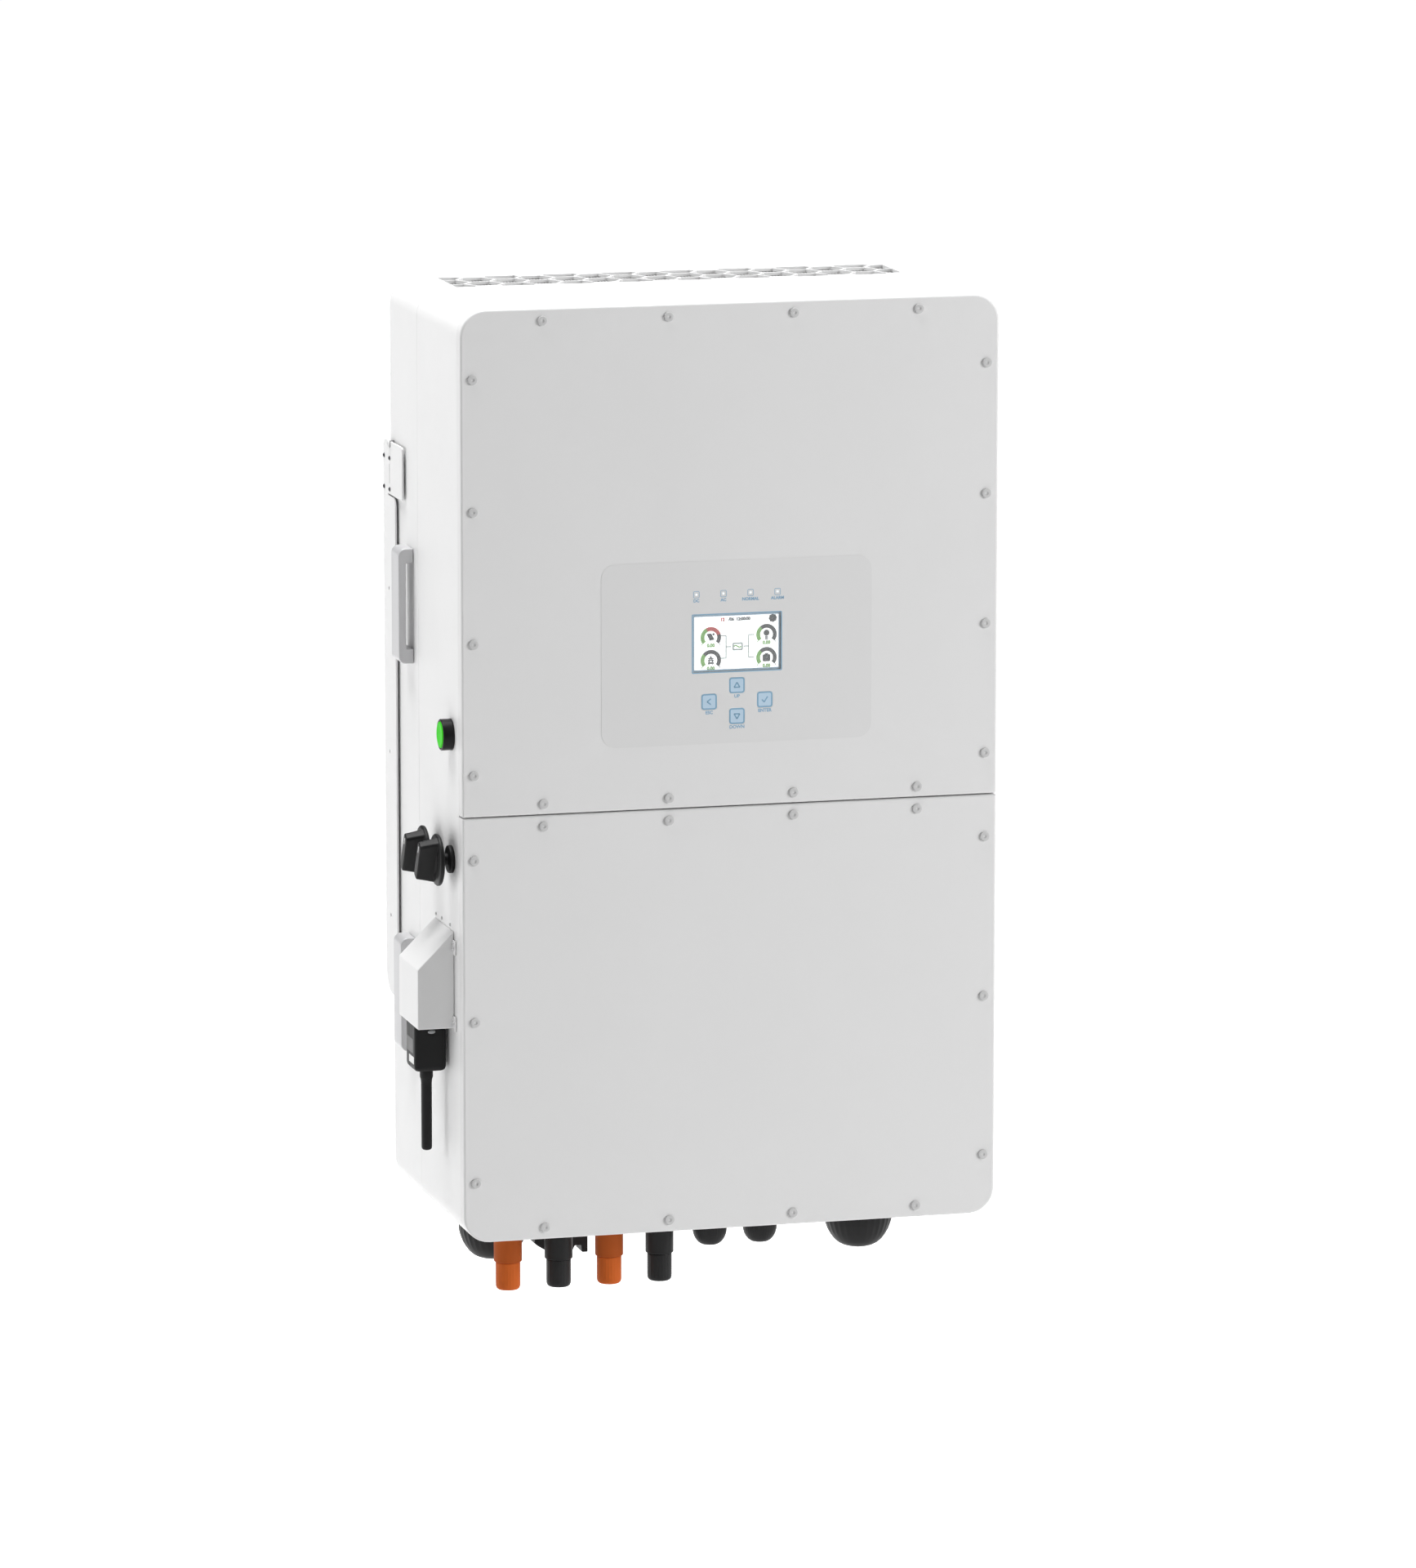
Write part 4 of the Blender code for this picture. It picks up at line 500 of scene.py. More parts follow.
def ring_plate(shape, half_w, half_h, radius, width, centre, y_back, y_front):
    """Flat frame between two rounded rectangles."""
    outer = corner_ring(half_w, half_h, radius, centre=centre)
    inner = corner_ring(half_w - width, half_h - width, max(radius - width, 0.0003), centre=centre)
    rings = [
        [in_space(p, y, "XZ") for p in outline]
        for outline, y in ((outer, y_back), (outer, y_front), (inner, y_front), (inner, y_back))
    ]
    return loft(shape, rings, closed=True)


TEXT_BOLD = 0.00016


def add_text(shape, words, centre, size, y_back, thickness, bold=TEXT_BOLD):
    """Lettering that reads from -Y, its middle at an (x, z) point."""
    curve = bpy.data.curves.new("words", "FONT")
    curve.body = words
    curve.size = size
    curve.offset = bold
    curve.align_x = "CENTER"
    curve.align_y = "CENTER"
    curve.resolution_u = 3
    curve.extrude = thickness / 2
    thing = bpy.data.objects.new("words", curve)
    bpy.context.scene.collection.objects.link(thing)
    mesh = evaluated_mesh(thing)
    place_at = Matrix.Translation((centre[0], y_back - thickness / 2, centre[1]))
    mesh.transform(place_at @ Matrix.Rotation(math.pi / 2, 4, "X"))
    shape.from_mesh(mesh)
    bmesh.ops.remove_doubles(shape, verts=shape.verts, dist=0.000001)
    bpy.data.objects.remove(thing)
    bpy.data.meshes.remove(mesh)
    return shape


# ------------------------------------------------------------------------------------------
# Case

CASE_LOW, CASE_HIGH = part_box("front_housing")
HALF_W, HALF_H = CASE_HIGH.x, CASE_HIGH.z
COVER_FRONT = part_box("lower_cover")[0].y
SEAM_EDGE = 0.0006
HOLE_PLAY = 0.0007
LIP = 0.030
SPLIT_Z = (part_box("upper_cover")[0].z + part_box("lower_cover")[1].z) / 2


def case_ring(inset, y):
    outline = corner_ring(HALF_W - inset, HALF_H - inset, CASE_R - inset)
    return [in_space(point, y, "XZ") for point in outline]


SIDE_NECKS = {
    "power_button_bezel": 0.0110, "dc_switch_front_body": 0.0060, "dc_switch_rear_body": 0.0060,
    "logger_socket": 0.0060,
}
BOTTOM_NECKS = {
    "battery_plus_1": 0.0100, "battery_minus_1": 0.0100, "battery_plus_2": 0.0100,
    "battery_minus_2": 0.0100, "signal_gland_1": 0.0100, "signal_gland_2": 0.0100,
    "cable_gland_left": 0.0250, "cable_gland_right": 0.0250, "port_cover": 0.0080,
}
LOGGER_STEM_Z = -0.200
TONGUE_INSET = 0.0045


def front_shell():
    """Front half of the case: side walls, rear wall and the lip that the landing rings sit on."""
    front, back = CASE_LOW.y, CASE_HIGH.y
    rings = [
        case_ring(SHEET, back - SHEET), case_ring(SHEET, front + SHEET),
        case_ring(LIP, front + SHEET), case_ring(LIP, front),
    ]
    arc = edge_arc(SEAM_EDGE)
    rings += [case_ring(inset, front + SEAM_EDGE - advance) for inset, advance in reversed(arc)]
    rings += [case_ring(inset, back - SEAM_EDGE + advance) for inset, advance in arc]
    shell = add_object("case_front_shell", loft(bmesh.new(), rings), "housing_paint")
    cutter = bmesh.new()
    for node, radius in SIDE_NECKS.items():
        place_of = middle(node)
        z = LOGGER_STEM_Z if node == "logger_socket" else place_of.z
        start = (-HALF_W + 2 * SHEET, place_of.y, z)
        drill(cutter, start, (-1, 0, 0), radius + HOLE_PLAY, 3 * SHEET)
    for node, radius in BOTTOM_NECKS.items():
        place_of = middle(node)
        start = (place_of.x, place_of.y, -HALF_H + 2 * SHEET)
        drill(cutter, start, (0, 0, -1), radius + HOLE_PLAY, 3 * SHEET)
    low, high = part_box("pv_connector_block")
    inset = TONGUE_INSET - HOLE_PLAY
    block(
        cutter, (low.x + inset, low.y + inset, -HALF_H - SHEET),
        (high.x - inset, high.y - inset, -HALF_H + 2 * SHEET),
    )
    carve(shell, cutter)
    soften(shell)
    place(shell, "white_paint", "front_housing")
    shelf = bmesh.new()
    inner = HALF_W - SHEET
    outline = [
        (back - SHEET, SPLIT_Z - SHEET / 2), (back - SHEET, SPLIT_Z + SHEET / 2),
        (front + SHEET, SPLIT_Z + SHEET / 2), (front + SHEET, SPLIT_Z + LIP - SHEET),
        (front, SPLIT_Z + LIP - SHEET), (front, SPLIT_Z - LIP + SHEET),
        (front + SHEET, SPLIT_Z - LIP + SHEET), (front + SHEET, SPLIT_Z - SHEET / 2),
    ]
    prism(shelf, outline, -inner + LIP, inner - LIP, "YZ")
    place(soften(add_object("case_shelf", shelf, "housing_paint", False)), "white_paint",
          "front_housing")


REAR_EDGE = 0.004


def rear_shell():
    """Rear half of the case: the cooling duct, open above and below."""
    low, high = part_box("rear_shroud")
    front, back = low.y, high.y
    arc = edge_arc(SEAM_EDGE)
    rings = [case_ring(SHEET, back - SHEET), case_ring(SHEET, front)]
    rings += [case_ring(inset, front + SEAM_EDGE - advance) for inset, advance in reversed(arc)]
    rings += [
        case_ring(inset, back - REAR_EDGE + advance) for inset, advance in edge_arc(REAR_EDGE, 6)
    ]
    shell = add_object("case_rear_shell", loft(bmesh.new(), rings), "housing_paint")
    cutter = bmesh.new()
    for node, z_low, z_high in (
        ("top_grille", HALF_H - 2 * SHEET, HALF_H + SHEET),
        ("fan_tray", -HALF_H - SHEET, -HALF_H + 2 * SHEET),
    ):
        low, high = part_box(node)
        block(cutter, (low.x - GAP, low.y - GAP, z_low), (high.x + GAP, high.y + GAP, z_high))
    bolt = middle("ear_bolt_left")
    for sign in (-1, 1):
        start = (sign * (HALF_W - 2 * SHEET), bolt.y, bolt.z)
        drill(cutter, start, (sign, 0, 0), EAR_NOTCH_R, 3 * SHEET)
    carve(shell, cutter)
    place(soften(shell), "white_paint", "rear_shroud")


# ------------------------------------------------------------------------------------------
# Covers and their screws

COVER_SHEET = 0.002
COVER_EDGE = 0.0022
SPLIT_CORNER = 0.0014
PANEL_CORNER = 0.014
PANEL_GAP = 0.0003
RING_INSET = 0.0032
RING_BAND = 0.023
RING_THICK = 0.006
HEAD_R = 0.0047
HEAD_T = 0.0016
SHANK_R = 0.0028
SHANK_LENGTH = 0.0115
RIM_OUT = 0.005
PANEL_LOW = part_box("operator_panel")[0] + Vector((RIM_OUT, 0, RIM_OUT))
PANEL_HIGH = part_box("operator_panel")[1] - Vector((RIM_OUT, 0, RIM_OUT))


def cover_ring(node, inset, y):
    low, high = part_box(node)
    centre = ((low.x + high.x) / 2, (low.z + high.z) / 2)
    round_r, tight_r = CASE_R - inset, SPLIT_CORNER - inset
    corners = (tight_r, tight_r, round_r, round_r)
    if node == "lower_cover":
        corners = corners[::-1]
    outline = corner_ring(
        (high.x - low.x) / 2 - inset, (high.z - low.z) / 2 - inset, corners, centre=centre
    )
    return [in_space(point, y, "XZ") for point in outline]


def panel_ring(grow, y):
    low, high = PANEL_LOW, PANEL_HIGH
    centre = ((low.x + high.x) / 2, (low.z + high.z) / 2)
    outline = corner_ring(
        (high.x - low.x) / 2 + grow, (high.z - low.z) / 2 + grow, PANEL_CORNER + grow,
        centre=centre,
    )
    return [in_space(point, y, "XZ") for point in outline]


def covers():
    for node in ("upper_cover", "lower_cover"):
        low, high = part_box(node)
        front, back = low.y, high.y
        rings = [cover_ring(node, inset, y) for inset, y in (
            (COVER_SHEET, front + COVER_SHEET), (COVER_SHEET, back), (0, back),
        )]
        rings += [
            cover_ring(node, inset, front + COVER_EDGE - advance)
            for inset, advance in edge_arc(COVER_EDGE, 5)
        ]
        shape = bmesh.new()
        if node == "upper_cover":
            rings += [panel_ring(PANEL_GAP, front), panel_ring(PANEL_GAP, front + COVER_SHEET)]
            loft(shape, rings, closed=True)
        else:
            loft(shape, rings)
        cover = soften(add_object(node + "_pan", shape, "cover_paint"))
        place(cover, "cover_paint", node)


def cover_screws():
    """Low-head screws with a small recess, and the ring that they are driven into."""
    recess_r, recess_depth, lobes = 0.0016, 0.0003, 6

    def wobble(level, angle):
        return 1 + 0.13 * math.cos(lobes * angle) if level in (1, 2) else 1.0

    profile = [
        (0, HEAD_T - recess_depth), (recess_r * 0.96, HEAD_T - recess_depth), (recess_r, HEAD_T),
        (HEAD_R * 0.84, HEAD_T * 0.99), (HEAD_R * 0.94, HEAD_T * 0.90),
        (HEAD_R * 0.99, HEAD_T * 0.65), (HEAD_R, HEAD_T * 0.35), (HEAD_R, 0), (SHANK_R, 0),
        (SHANK_R, -SHANK_LENGTH), (0, -SHANK_LENGTH),
    ]
    for level in ("upper", "lower"):
        node = level + "_screw_frame"
        low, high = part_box(node)
        head_back = low.y + HEAD_T
        heads = clusters(node, lambda p: p.y < low.y + 0.0002, 3 * HEAD_R)
        shape = bmesh.new()
        for head in heads:
            lathe(shape, profile, (head.x, head_back, head.z), (0, -1, 0), 24, wobble)
        screws = soften(add_object(level + "_cover_screws", shape, "screw_steel"))
        place(screws, "frame_steel", node)
        cover = level + "_cover"
        ring = loft(bmesh.new(), [
            cover_ring(cover, inset, y) for inset, y in (
                (RING_INSET, high.y), (RING_INSET, high.y - RING_THICK),
                (RING_INSET + RING_BAND, high.y - RING_THICK), (RING_INSET + RING_BAND, high.y),
            )
        ], closed=True)
        place(soften(add_object(level + "_landing_ring", ring, "zinc_steel")), "frame_steel", node)


# ------------------------------------------------------------------------------------------
# Operator panel

FILM_T = 0.00025
FILM_GROW = 0.0006
FILM_Y = COVER_FRONT - FILM_T
PRINT_T = 0.00005
KEY_WINDOW_R = 0.0028
KEY_NODES = {"esc": "key_esc", "up": "key_up", "down": "key_down", "enter": "key_enter"}
KEY_HALF = 0.0078
LED_R = 0.0016
LCD_FRAME = 0.0012         # width of the printed frame round the display window
LCD_CORNER = 0.0006
LCD_LOW, LCD_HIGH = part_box("display_window")
LCD_MIDDLE = (LCD_LOW + LCD_HIGH) / 2
LCD_HALF_W, LCD_HALF_H = (LCD_HIGH.x - LCD_LOW.x) / 2, (LCD_HIGH.z - LCD_LOW.z) / 2
LED_LABELS = ("DC", "AC", "NORMAL", "ALARM")
KEY_LABELS = {"esc": "ESC", "up": "UP", "down": "DOWN", "enter": "ENTER"}


def led_places():
    """Middles of the lamp windows, from the light guide's pins."""
    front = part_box("light_guide")[0].y
    found = clusters("light_guide", lambda p: p.y < front + 0.0002, 0.006)
    return sorted(((p.x, p.z) for p in found))


def operator_panel():
    """Moulded plate with a film face that just covers the joint to the cover."""
    low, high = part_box("operator_panel")
    back = high.y
    film_back = COVER_FRONT - 0.00003
    rings = [
        panel_ring(0, back), panel_ring(0, film_back), panel_ring(FILM_GROW, film_back),
        panel_ring(FILM_GROW, FILM_Y + 0.0001), panel_ring(FILM_GROW - 0.00012, FILM_Y),
    ]
    plate = add_object("operator_panel_plate", loft(bmesh.new(), rings), "panel_film")
    cutter = bmesh.new()
    front, behind = COVER_FRONT - 0.003, back + 0.003
    openings = [
        corner_ring(
            LCD_HALF_W + 0.0001, LCD_HALF_H + 0.0001, LCD_CORNER, steps=3,
            centre=(LCD_MIDDLE.x, LCD_MIDDLE.z),
        )
    ]
    openings += [disc_points(place_of, LED_R) for place_of in led_places()]
    for node in KEY_NODES.values():
        key = middle(node)
        openings.append(corner_ring(KEY_HALF, KEY_HALF, KEY_WINDOW_R, centre=(key.x, key.z)))
    for outline in openings:
        prism(cutter, outline, front, behind, "XZ")
    carve(plate, cutter)
    place(soften(plate), "panel_film", "operator_panel")
    rim = bmesh.new()
    rim_front, rim_back = COVER_FRONT + COVER_SHEET + PANEL_GAP, back + 0.0003
    rings = [
        [in_space(p, y, "XZ") for p in corner_ring(
            (high.x - low.x) / 2 - inset, (high.z - low.z) / 2 - inset, 0.004, steps=3,
            centre=(middle("operator_panel").x, middle("operator_panel").z))]
        for inset, y in ((0, rim_front), (0, rim_back), (0.015, rim_back), (0.015, rim_front))
    ]
    loft(rim, rings, closed=True)
    place(soften(add_object("operator_panel_rim", rim, "black_plastic")), "panel_film",
          "operator_panel")


def panel_print():
    """Generic words under the lamps and keys, and frames round the lamps and the display."""
    shape = bmesh.new()
    for (x, z), words in zip(led_places(), LED_LABELS):
        add_text(shape, words, (x, z - 0.0060), 0.0040, FILM_Y, PRINT_T)
        ring_plate(shape, 0.0030, 0.0033, 0.0012, 0.0005, (x, z), FILM_Y, FILM_Y - PRINT_T)
    for name, node in KEY_NODES.items():
        key = middle(node)
        add_text(shape, KEY_LABELS[name], (key.x, key.z - 0.0105), 0.0044, FILM_Y, PRINT_T)
    ring_plate(
        shape, LCD_HALF_W + LCD_FRAME, LCD_HALF_H + LCD_FRAME, 0.0012, LCD_FRAME - 0.0002,
        (LCD_MIDDLE.x, LCD_MIDDLE.z), FILM_Y, FILM_Y - PRINT_T,
    )
    place(add_object("panel_print", shape, "blue_print", False), "key_plastic")


def key_icon(shape, name, x, z, y_back, y_front):
    """Symbol on a key: arrow to the left, arrow up, arrow down or a tick."""
    width, reach = 0.0013, 0.0028
    lines = {
        "esc": [
            ((reach * 0.6, reach), (-reach * 0.7, 0)), ((-reach * 0.7, 0), (reach * 0.6, -reach)),
        ],
        "up": [
            ((-reach, -reach * 0.7), (0, reach)), ((0, reach), (reach, -reach * 0.7)),
            ((-reach, -reach * 0.7), (reach, -reach * 0.7)),
        ],
        "enter": [
            ((-reach, 0), (-reach * 0.2, -reach * 0.9)),
            ((-reach * 0.2, -reach * 0.9), (reach, reach)),
        ],
    }
    lines["down"] = [tuple((a, -b) for a, b in line) for line in lines["up"]]
    for start, end in lines[name]:
        stroke(
            shape, (x + start[0], z + start[1]), (x + end[0], z + end[1]), width, y_back, y_front
        )


def keys():
    """Film keys with a printed frame and symbol; the print moves with its key."""
    for name, node in KEY_NODES.items():
        body = name + "_key"
        low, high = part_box(node)
        x, z = middle(node).x, middle(node).z
        front, half, edge = FILM_Y + 0.00005, 0.0077, 0.0003
        rings = [(half - inset, front + edge - advance) for inset, advance in edge_arc(edge, 3)]
        rings = [(half, high.y)] + rings
        shape = loft(bmesh.new(), [
            [in_space(p, y, "XZ") for p in corner_ring(reach, reach, 0.0027, centre=(x, z))]
            for reach, y in rings
        ])
        key = soften(add_object("key_%s_cap" % name, shape, "key_film"))
        place(key, "key_plastic", node, body=body)
        drawn = bmesh.new()
        ring_plate(drawn, 0.0074, 0.0074, 0.0025, 0.0012, (x, z), front, front - PRINT_T)
        key_icon(drawn, name, x, z, front, front - PRINT_T)
        place(
            add_object("key_%s_print" % name, drawn, "blue_print", False), "key_plastic", body=body
        )


# ------------------------------------------------------------------------------------------
# Display

SCREEN_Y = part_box("display_module")[0].y
GAUGE_R = 0.0101
GAUGE_BAND = 0.0038
SCREEN_BOLD = 0.00030
GAUGE_START, GAUGE_END = 218, -38
WHEEL_R = 0.0041
WHEEL_ROOT_R = 0.0036
WHEEL_STEPS = 32
GAUGES = {
    # name: middle (x, z) from the screen's middle, and where each colour ends, in degrees
    "input": (
        -0.0252, 0.0054, (("screen_green", 118), ("screen_red", 18), ("screen_black", GAUGE_END)),
    ),
    "grid": (-0.0252, -0.0166, (("screen_green", 140), ("screen_black", GAUGE_END))),
    "load": (0.0296, 0.0062, (("screen_green", 128), ("screen_black", GAUGE_END))),
    "store": (0.0296, -0.0160, (("screen_green", 132), ("screen_black", GAUGE_END))),
}


def display():
    """Module frame, lit screen with generic graphics, blue surround and the glass."""
    low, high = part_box("display_module")
    half_w, half_h = LCD_HALF_W, LCD_HALF_H
    cx, cz = LCD_MIDDLE.x, LCD_MIDDLE.z
    body = bmesh.new()
    block(body, (low.x, SCREEN_Y + 0.0027, low.z), (high.x, high.y, high.z))
    module = soften(add_object("display_module_frame", body, "black_plastic"), 0.0006)
    place(module, "black_gloss", "display_module")
    sheet = bmesh.new()
    prism(sheet, corner_ring(half_w - 0.0009, half_h - 0.0009, LCD_CORNER, 3, (cx, cz)),
          SCREEN_Y + 0.0028, SCREEN_Y, "XZ")
    place(soften(add_object("display_screen", sheet, "screen_white")), "black_gloss",
          "display_module")
    surround = ring_plate(
        bmesh.new(), half_w - 0.0001, half_h - 0.0001, LCD_CORNER, 0.0017, (cx, cz),
        SCREEN_Y - 0.00002, SCREEN_Y - 0.0002,
    )
    place(add_object("display_surround", surround, "screen_blue", False), "black_gloss",
          "display_module")
    glass_low, glass_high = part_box("display_window")
    pane = bmesh.new()
    outline = corner_ring(half_w, half_h, LCD_CORNER, 3, (cx, cz))
    prism(pane, outline, glass_high.y, glass_low.y, "XZ")
    place(soften(add_object("display_glass", pane, "window_glass")), "window_glass",
          "display_window")
    screen_graphics(cx, cz)


def screen_graphics(cx, cz):
    """Gauges, symbols, joining lines and a line of figures on the screen."""
    back, front = SCREEN_Y, SCREEN_Y - PRINT_T
    shapes = {look: bmesh.new() for look in (
        "screen_green", "screen_red", "screen_black", "screen_grey", "screen_pale",
    )}
    for dx, dz, stretches in GAUGES.values():
        centre = (cx + dx, cz + dz)
        start = GAUGE_START
        for look, end in stretches:
            steps = max(2, int(abs(end - start) / 7))
            band(
                shapes[look], centre, GAUGE_R - GAUGE_BAND, GAUGE_R, start, end, back, front, steps
            )
            start = end
        for angle in (GAUGE_START, GAUGE_END):
            turn = math.radians(angle)
            mark = (centre[0] + (GAUGE_R + 0.0009) * math.cos(turn),
                    centre[1] + (GAUGE_R + 0.0009) * math.sin(turn))
            look = "screen_green" if angle == GAUGE_START else "screen_grey"
            polygon_plate(shapes[look], disc_points(mark, 0.0006, 10), back, front)
        add_text(
            shapes["screen_green"], "0.00", (centre[0], centre[1] - 0.0078), 0.0044, back, PRINT_T,
            SCREEN_BOLD,
        )
    icons(shapes, cx, cz, back, front)
    joint_lines(shapes["screen_pale"], cx, cz, back, front)
    add_text(shapes["screen_red"], "12", (cx - 0.0137, cz + 0.0221), 0.0040, back, PRINT_T,
             SCREEN_BOLD)
    add_text(shapes["screen_grey"], "/06  12:00:00", (cx + 0.0030, cz + 0.0221), 0.0040, back,
             PRINT_T, SCREEN_BOLD)
    for look, shape in shapes.items():
        piece = add_object("display_" + look, shape, look, False)
        place(piece, "black_gloss", "display_module")


def gauge_middle(name, cx, cz):
    dx, dz, _ = GAUGES[name]
    return cx + dx, cz + dz


def icons(shapes, cx, cz, back, front):
    """Generic symbols: solar panel, grid tower, lamp, storage, settings wheel and inverter."""
    dark, grey, pale = shapes["screen_black"], shapes["screen_grey"], shapes["screen_pale"]
    x, z = gauge_middle("input", cx, cz)
    panel = [(-0.0042, 0.0034), (0.0004, 0.0040), (0.0036, -0.0022), (-0.0010, -0.0030)]
    polygon_plate(dark, [(x + a, z + b) for a, b in panel], back, front)
    polygon_plate(dark, disc_points((x + 0.0026, z + 0.0030), 0.0011, 12), back, front)
    x, z = gauge_middle("grid", cx, cz)
    tower = [
        ((-0.0026, -0.0036), (0, 0.0040)), ((0.0026, -0.0036), (0, 0.0040)),
        ((-0.0026, 0.0018), (0.0026, 0.0018)), ((-0.0030, 0.0000), (0.0030, 0.0000)),
        ((-0.0018, -0.0016), (0.0020, -0.0036)), ((0.0018, -0.0016), (-0.0020, -0.0036)),
    ]
    for start, end in tower:
        stroke(grey, (x + start[0], z + start[1]), (x + end[0], z + end[1]), 0.0011, back, front)
    x, z = gauge_middle("load", cx, cz)
    polygon_plate(dark, disc_points((x, z + 0.0016), 0.0029, 20), back, front)
    for step in range(3):
        level = z - 0.0020 - 0.0012 * step
        stroke(grey, (x - 0.0015, level), (x + 0.0015, level), 0.0010, back, front)
    x, z = gauge_middle("store", cx, cz)
    body = corner_ring(0.0038, 0.0034, 0.0014, 4, (x, z - 0.0003))
    polygon_plate(dark, body, back, front)
    stroke(dark, (x - 0.0016, z + 0.0035), (x + 0.0016, z + 0.0035), 0.0014, back, front)
    polygon_plate(
        shapes["screen_grey"], disc_points((x, z + 0.0001), 0.0010, 12), front, front - PRINT_T
    )
    wheel_x, wheel_z = cx + 0.0358, cz + 0.0218
    teeth = []
    for step in range(WHEEL_STEPS):
        radius = WHEEL_R if step % 4 < 2 else WHEEL_ROOT_R
        angle = 2 * math.pi * step / WHEEL_STEPS
        teeth.append((wheel_x + radius * math.cos(angle), wheel_z + radius * math.sin(angle)))
    polygon_plate(dark, teeth, back, front)
    polygon_plate(grey, disc_points((wheel_x, wheel_z), 0.0007, 14), front, front - PRINT_T)
    ring_plate(pale, 0.0052, 0.0038, 0.0014, 0.0015, (cx + 0.0012, cz - 0.0042), back, front)
    wave = [((-0.0026, -0.0042), (-0.0008, -0.0030)), ((-0.0008, -0.0030), (0.0030, -0.0052)),
            ((0.0030, -0.0052), (0.0046, -0.0042))]
    for start, end in wave:
        stroke(
            shapes["screen_green"], (cx + start[0], cz + start[1]), (cx + end[0], cz + end[1]),
            0.0012, back, front,
        )


def joint_lines(shape, cx, cz, back, front):
    """Thin lines that join the four gauges to the middle."""
    width, centre_z = 0.0010, cz - 0.0042
    for sign, bus in ((-1, cx - 0.0102), (1, cx + 0.0120)):
        upper, lower = cz + 0.0066, cz - 0.0150
        reach = bus + sign * 0.0055
        for start, end in (
            ((bus, lower), (bus, upper)), ((bus, upper), (reach, upper)),
            ((bus, lower), (reach, lower)), ((bus, centre_z), (bus - sign * 0.0050, centre_z)),
        ):
            stroke(shape, start, end, width, back, front)


def lamps():
    """Light guide whose pins end in the lamp windows."""
    low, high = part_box("light_guide")
    shape = bmesh.new()
    bar_front = high.y - 0.0032
    block(shape, (low.x, bar_front, low.z), (high.x, high.y, high.z))
    guide = soften(add_object("lamp_guide", shape, "clear_plastic"), 0.0006)
    place(guide, "clear_plastic", "light_guide")
    pins = bmesh.new()
    radius = LED_R - 0.0002
    profile = rounded(
        [(0, 0), (radius, 0), (radius, bar_front - FILM_Y), (0, bar_front - FILM_Y)], 0.0004
    )
    for x, z in led_places():
        lathe(pins, profile, (x, bar_front, z), (0, -1, 0), 24)
    place(soften(add_object("lamp_pins", pins, "lamp_white")), "clear_plastic", "light_guide")


# ------------------------------------------------------------------------------------------
# Left side wall

OUT_LEFT = (-1, 0, 0)


def power_button():
    """Round bezel with a stepped mouth, lock nut inside, and a lit cap that slides in it."""
    low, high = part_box("power_button_bezel")
    centre = (-HALF_W, middle("power_button_bezel").y, middle("power_button_bezel").z)
    outer = (high.z - low.z) / 2
    reach = -HALF_W - low.x
    bore, seat = 0.0129, 0.003
    profile = [
        (0, seat), (bore, seat), (bore, reach - 0.0006), (bore + 0.0003, reach - 0.0002),
        (bore + 0.0006, reach), (outer - 0.0009, reach), (outer - 0.0003, reach - 0.0003),
        (outer, reach - 0.0009), (outer, 0.0022), (outer + 0.0002, 0.0016), (outer + 0.0002, GAP),
        (0.0110, GAP), (0.0110, -SHEET - GAP), (0.0140, -SHEET - GAP), (0.0140, -0.0200),
        (0, -0.0200),
    ]
    shape = lathe(bmesh.new(), profile, centre, OUT_LEFT, 64)
    place(soften(add_object("power_button_ring", shape, "black_satin")), "black_plastic",
          "power_button_bezel")
    low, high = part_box("power_button_cap")
    radius, top, bottom = (high.z - low.z) / 2, -HALF_W - low.x, -HALF_W - high.x
    cap = [
        (0, top - 0.0007), (radius * 0.45, top - 0.00055), (radius * 0.78, top - 0.0001),
        (radius * 0.86, top), (radius * 0.93, top - 0.0001), (radius * 0.98, top - 0.0005),
        (radius, top - 0.0012), (radius, bottom), (0, bottom),
    ]
    shape = lathe(bmesh.new(), cap, centre, OUT_LEFT, 64)
    place(soften(add_object("power_button_lens", shape, "green_cap")), "button_green",
          "power_button_cap", body="button")


KNOB_INNER = 0.0126
KNOB_DISC_T = 0.0045
GRIP_ROOT = 0.0238
GRIP_TIP = 0.0195
GRIP_HALF_T = 0.0055
SWITCH_LEAN = math.radians(28)
COLLAR_R = 0.0133
SHAFT_R = 0.0034


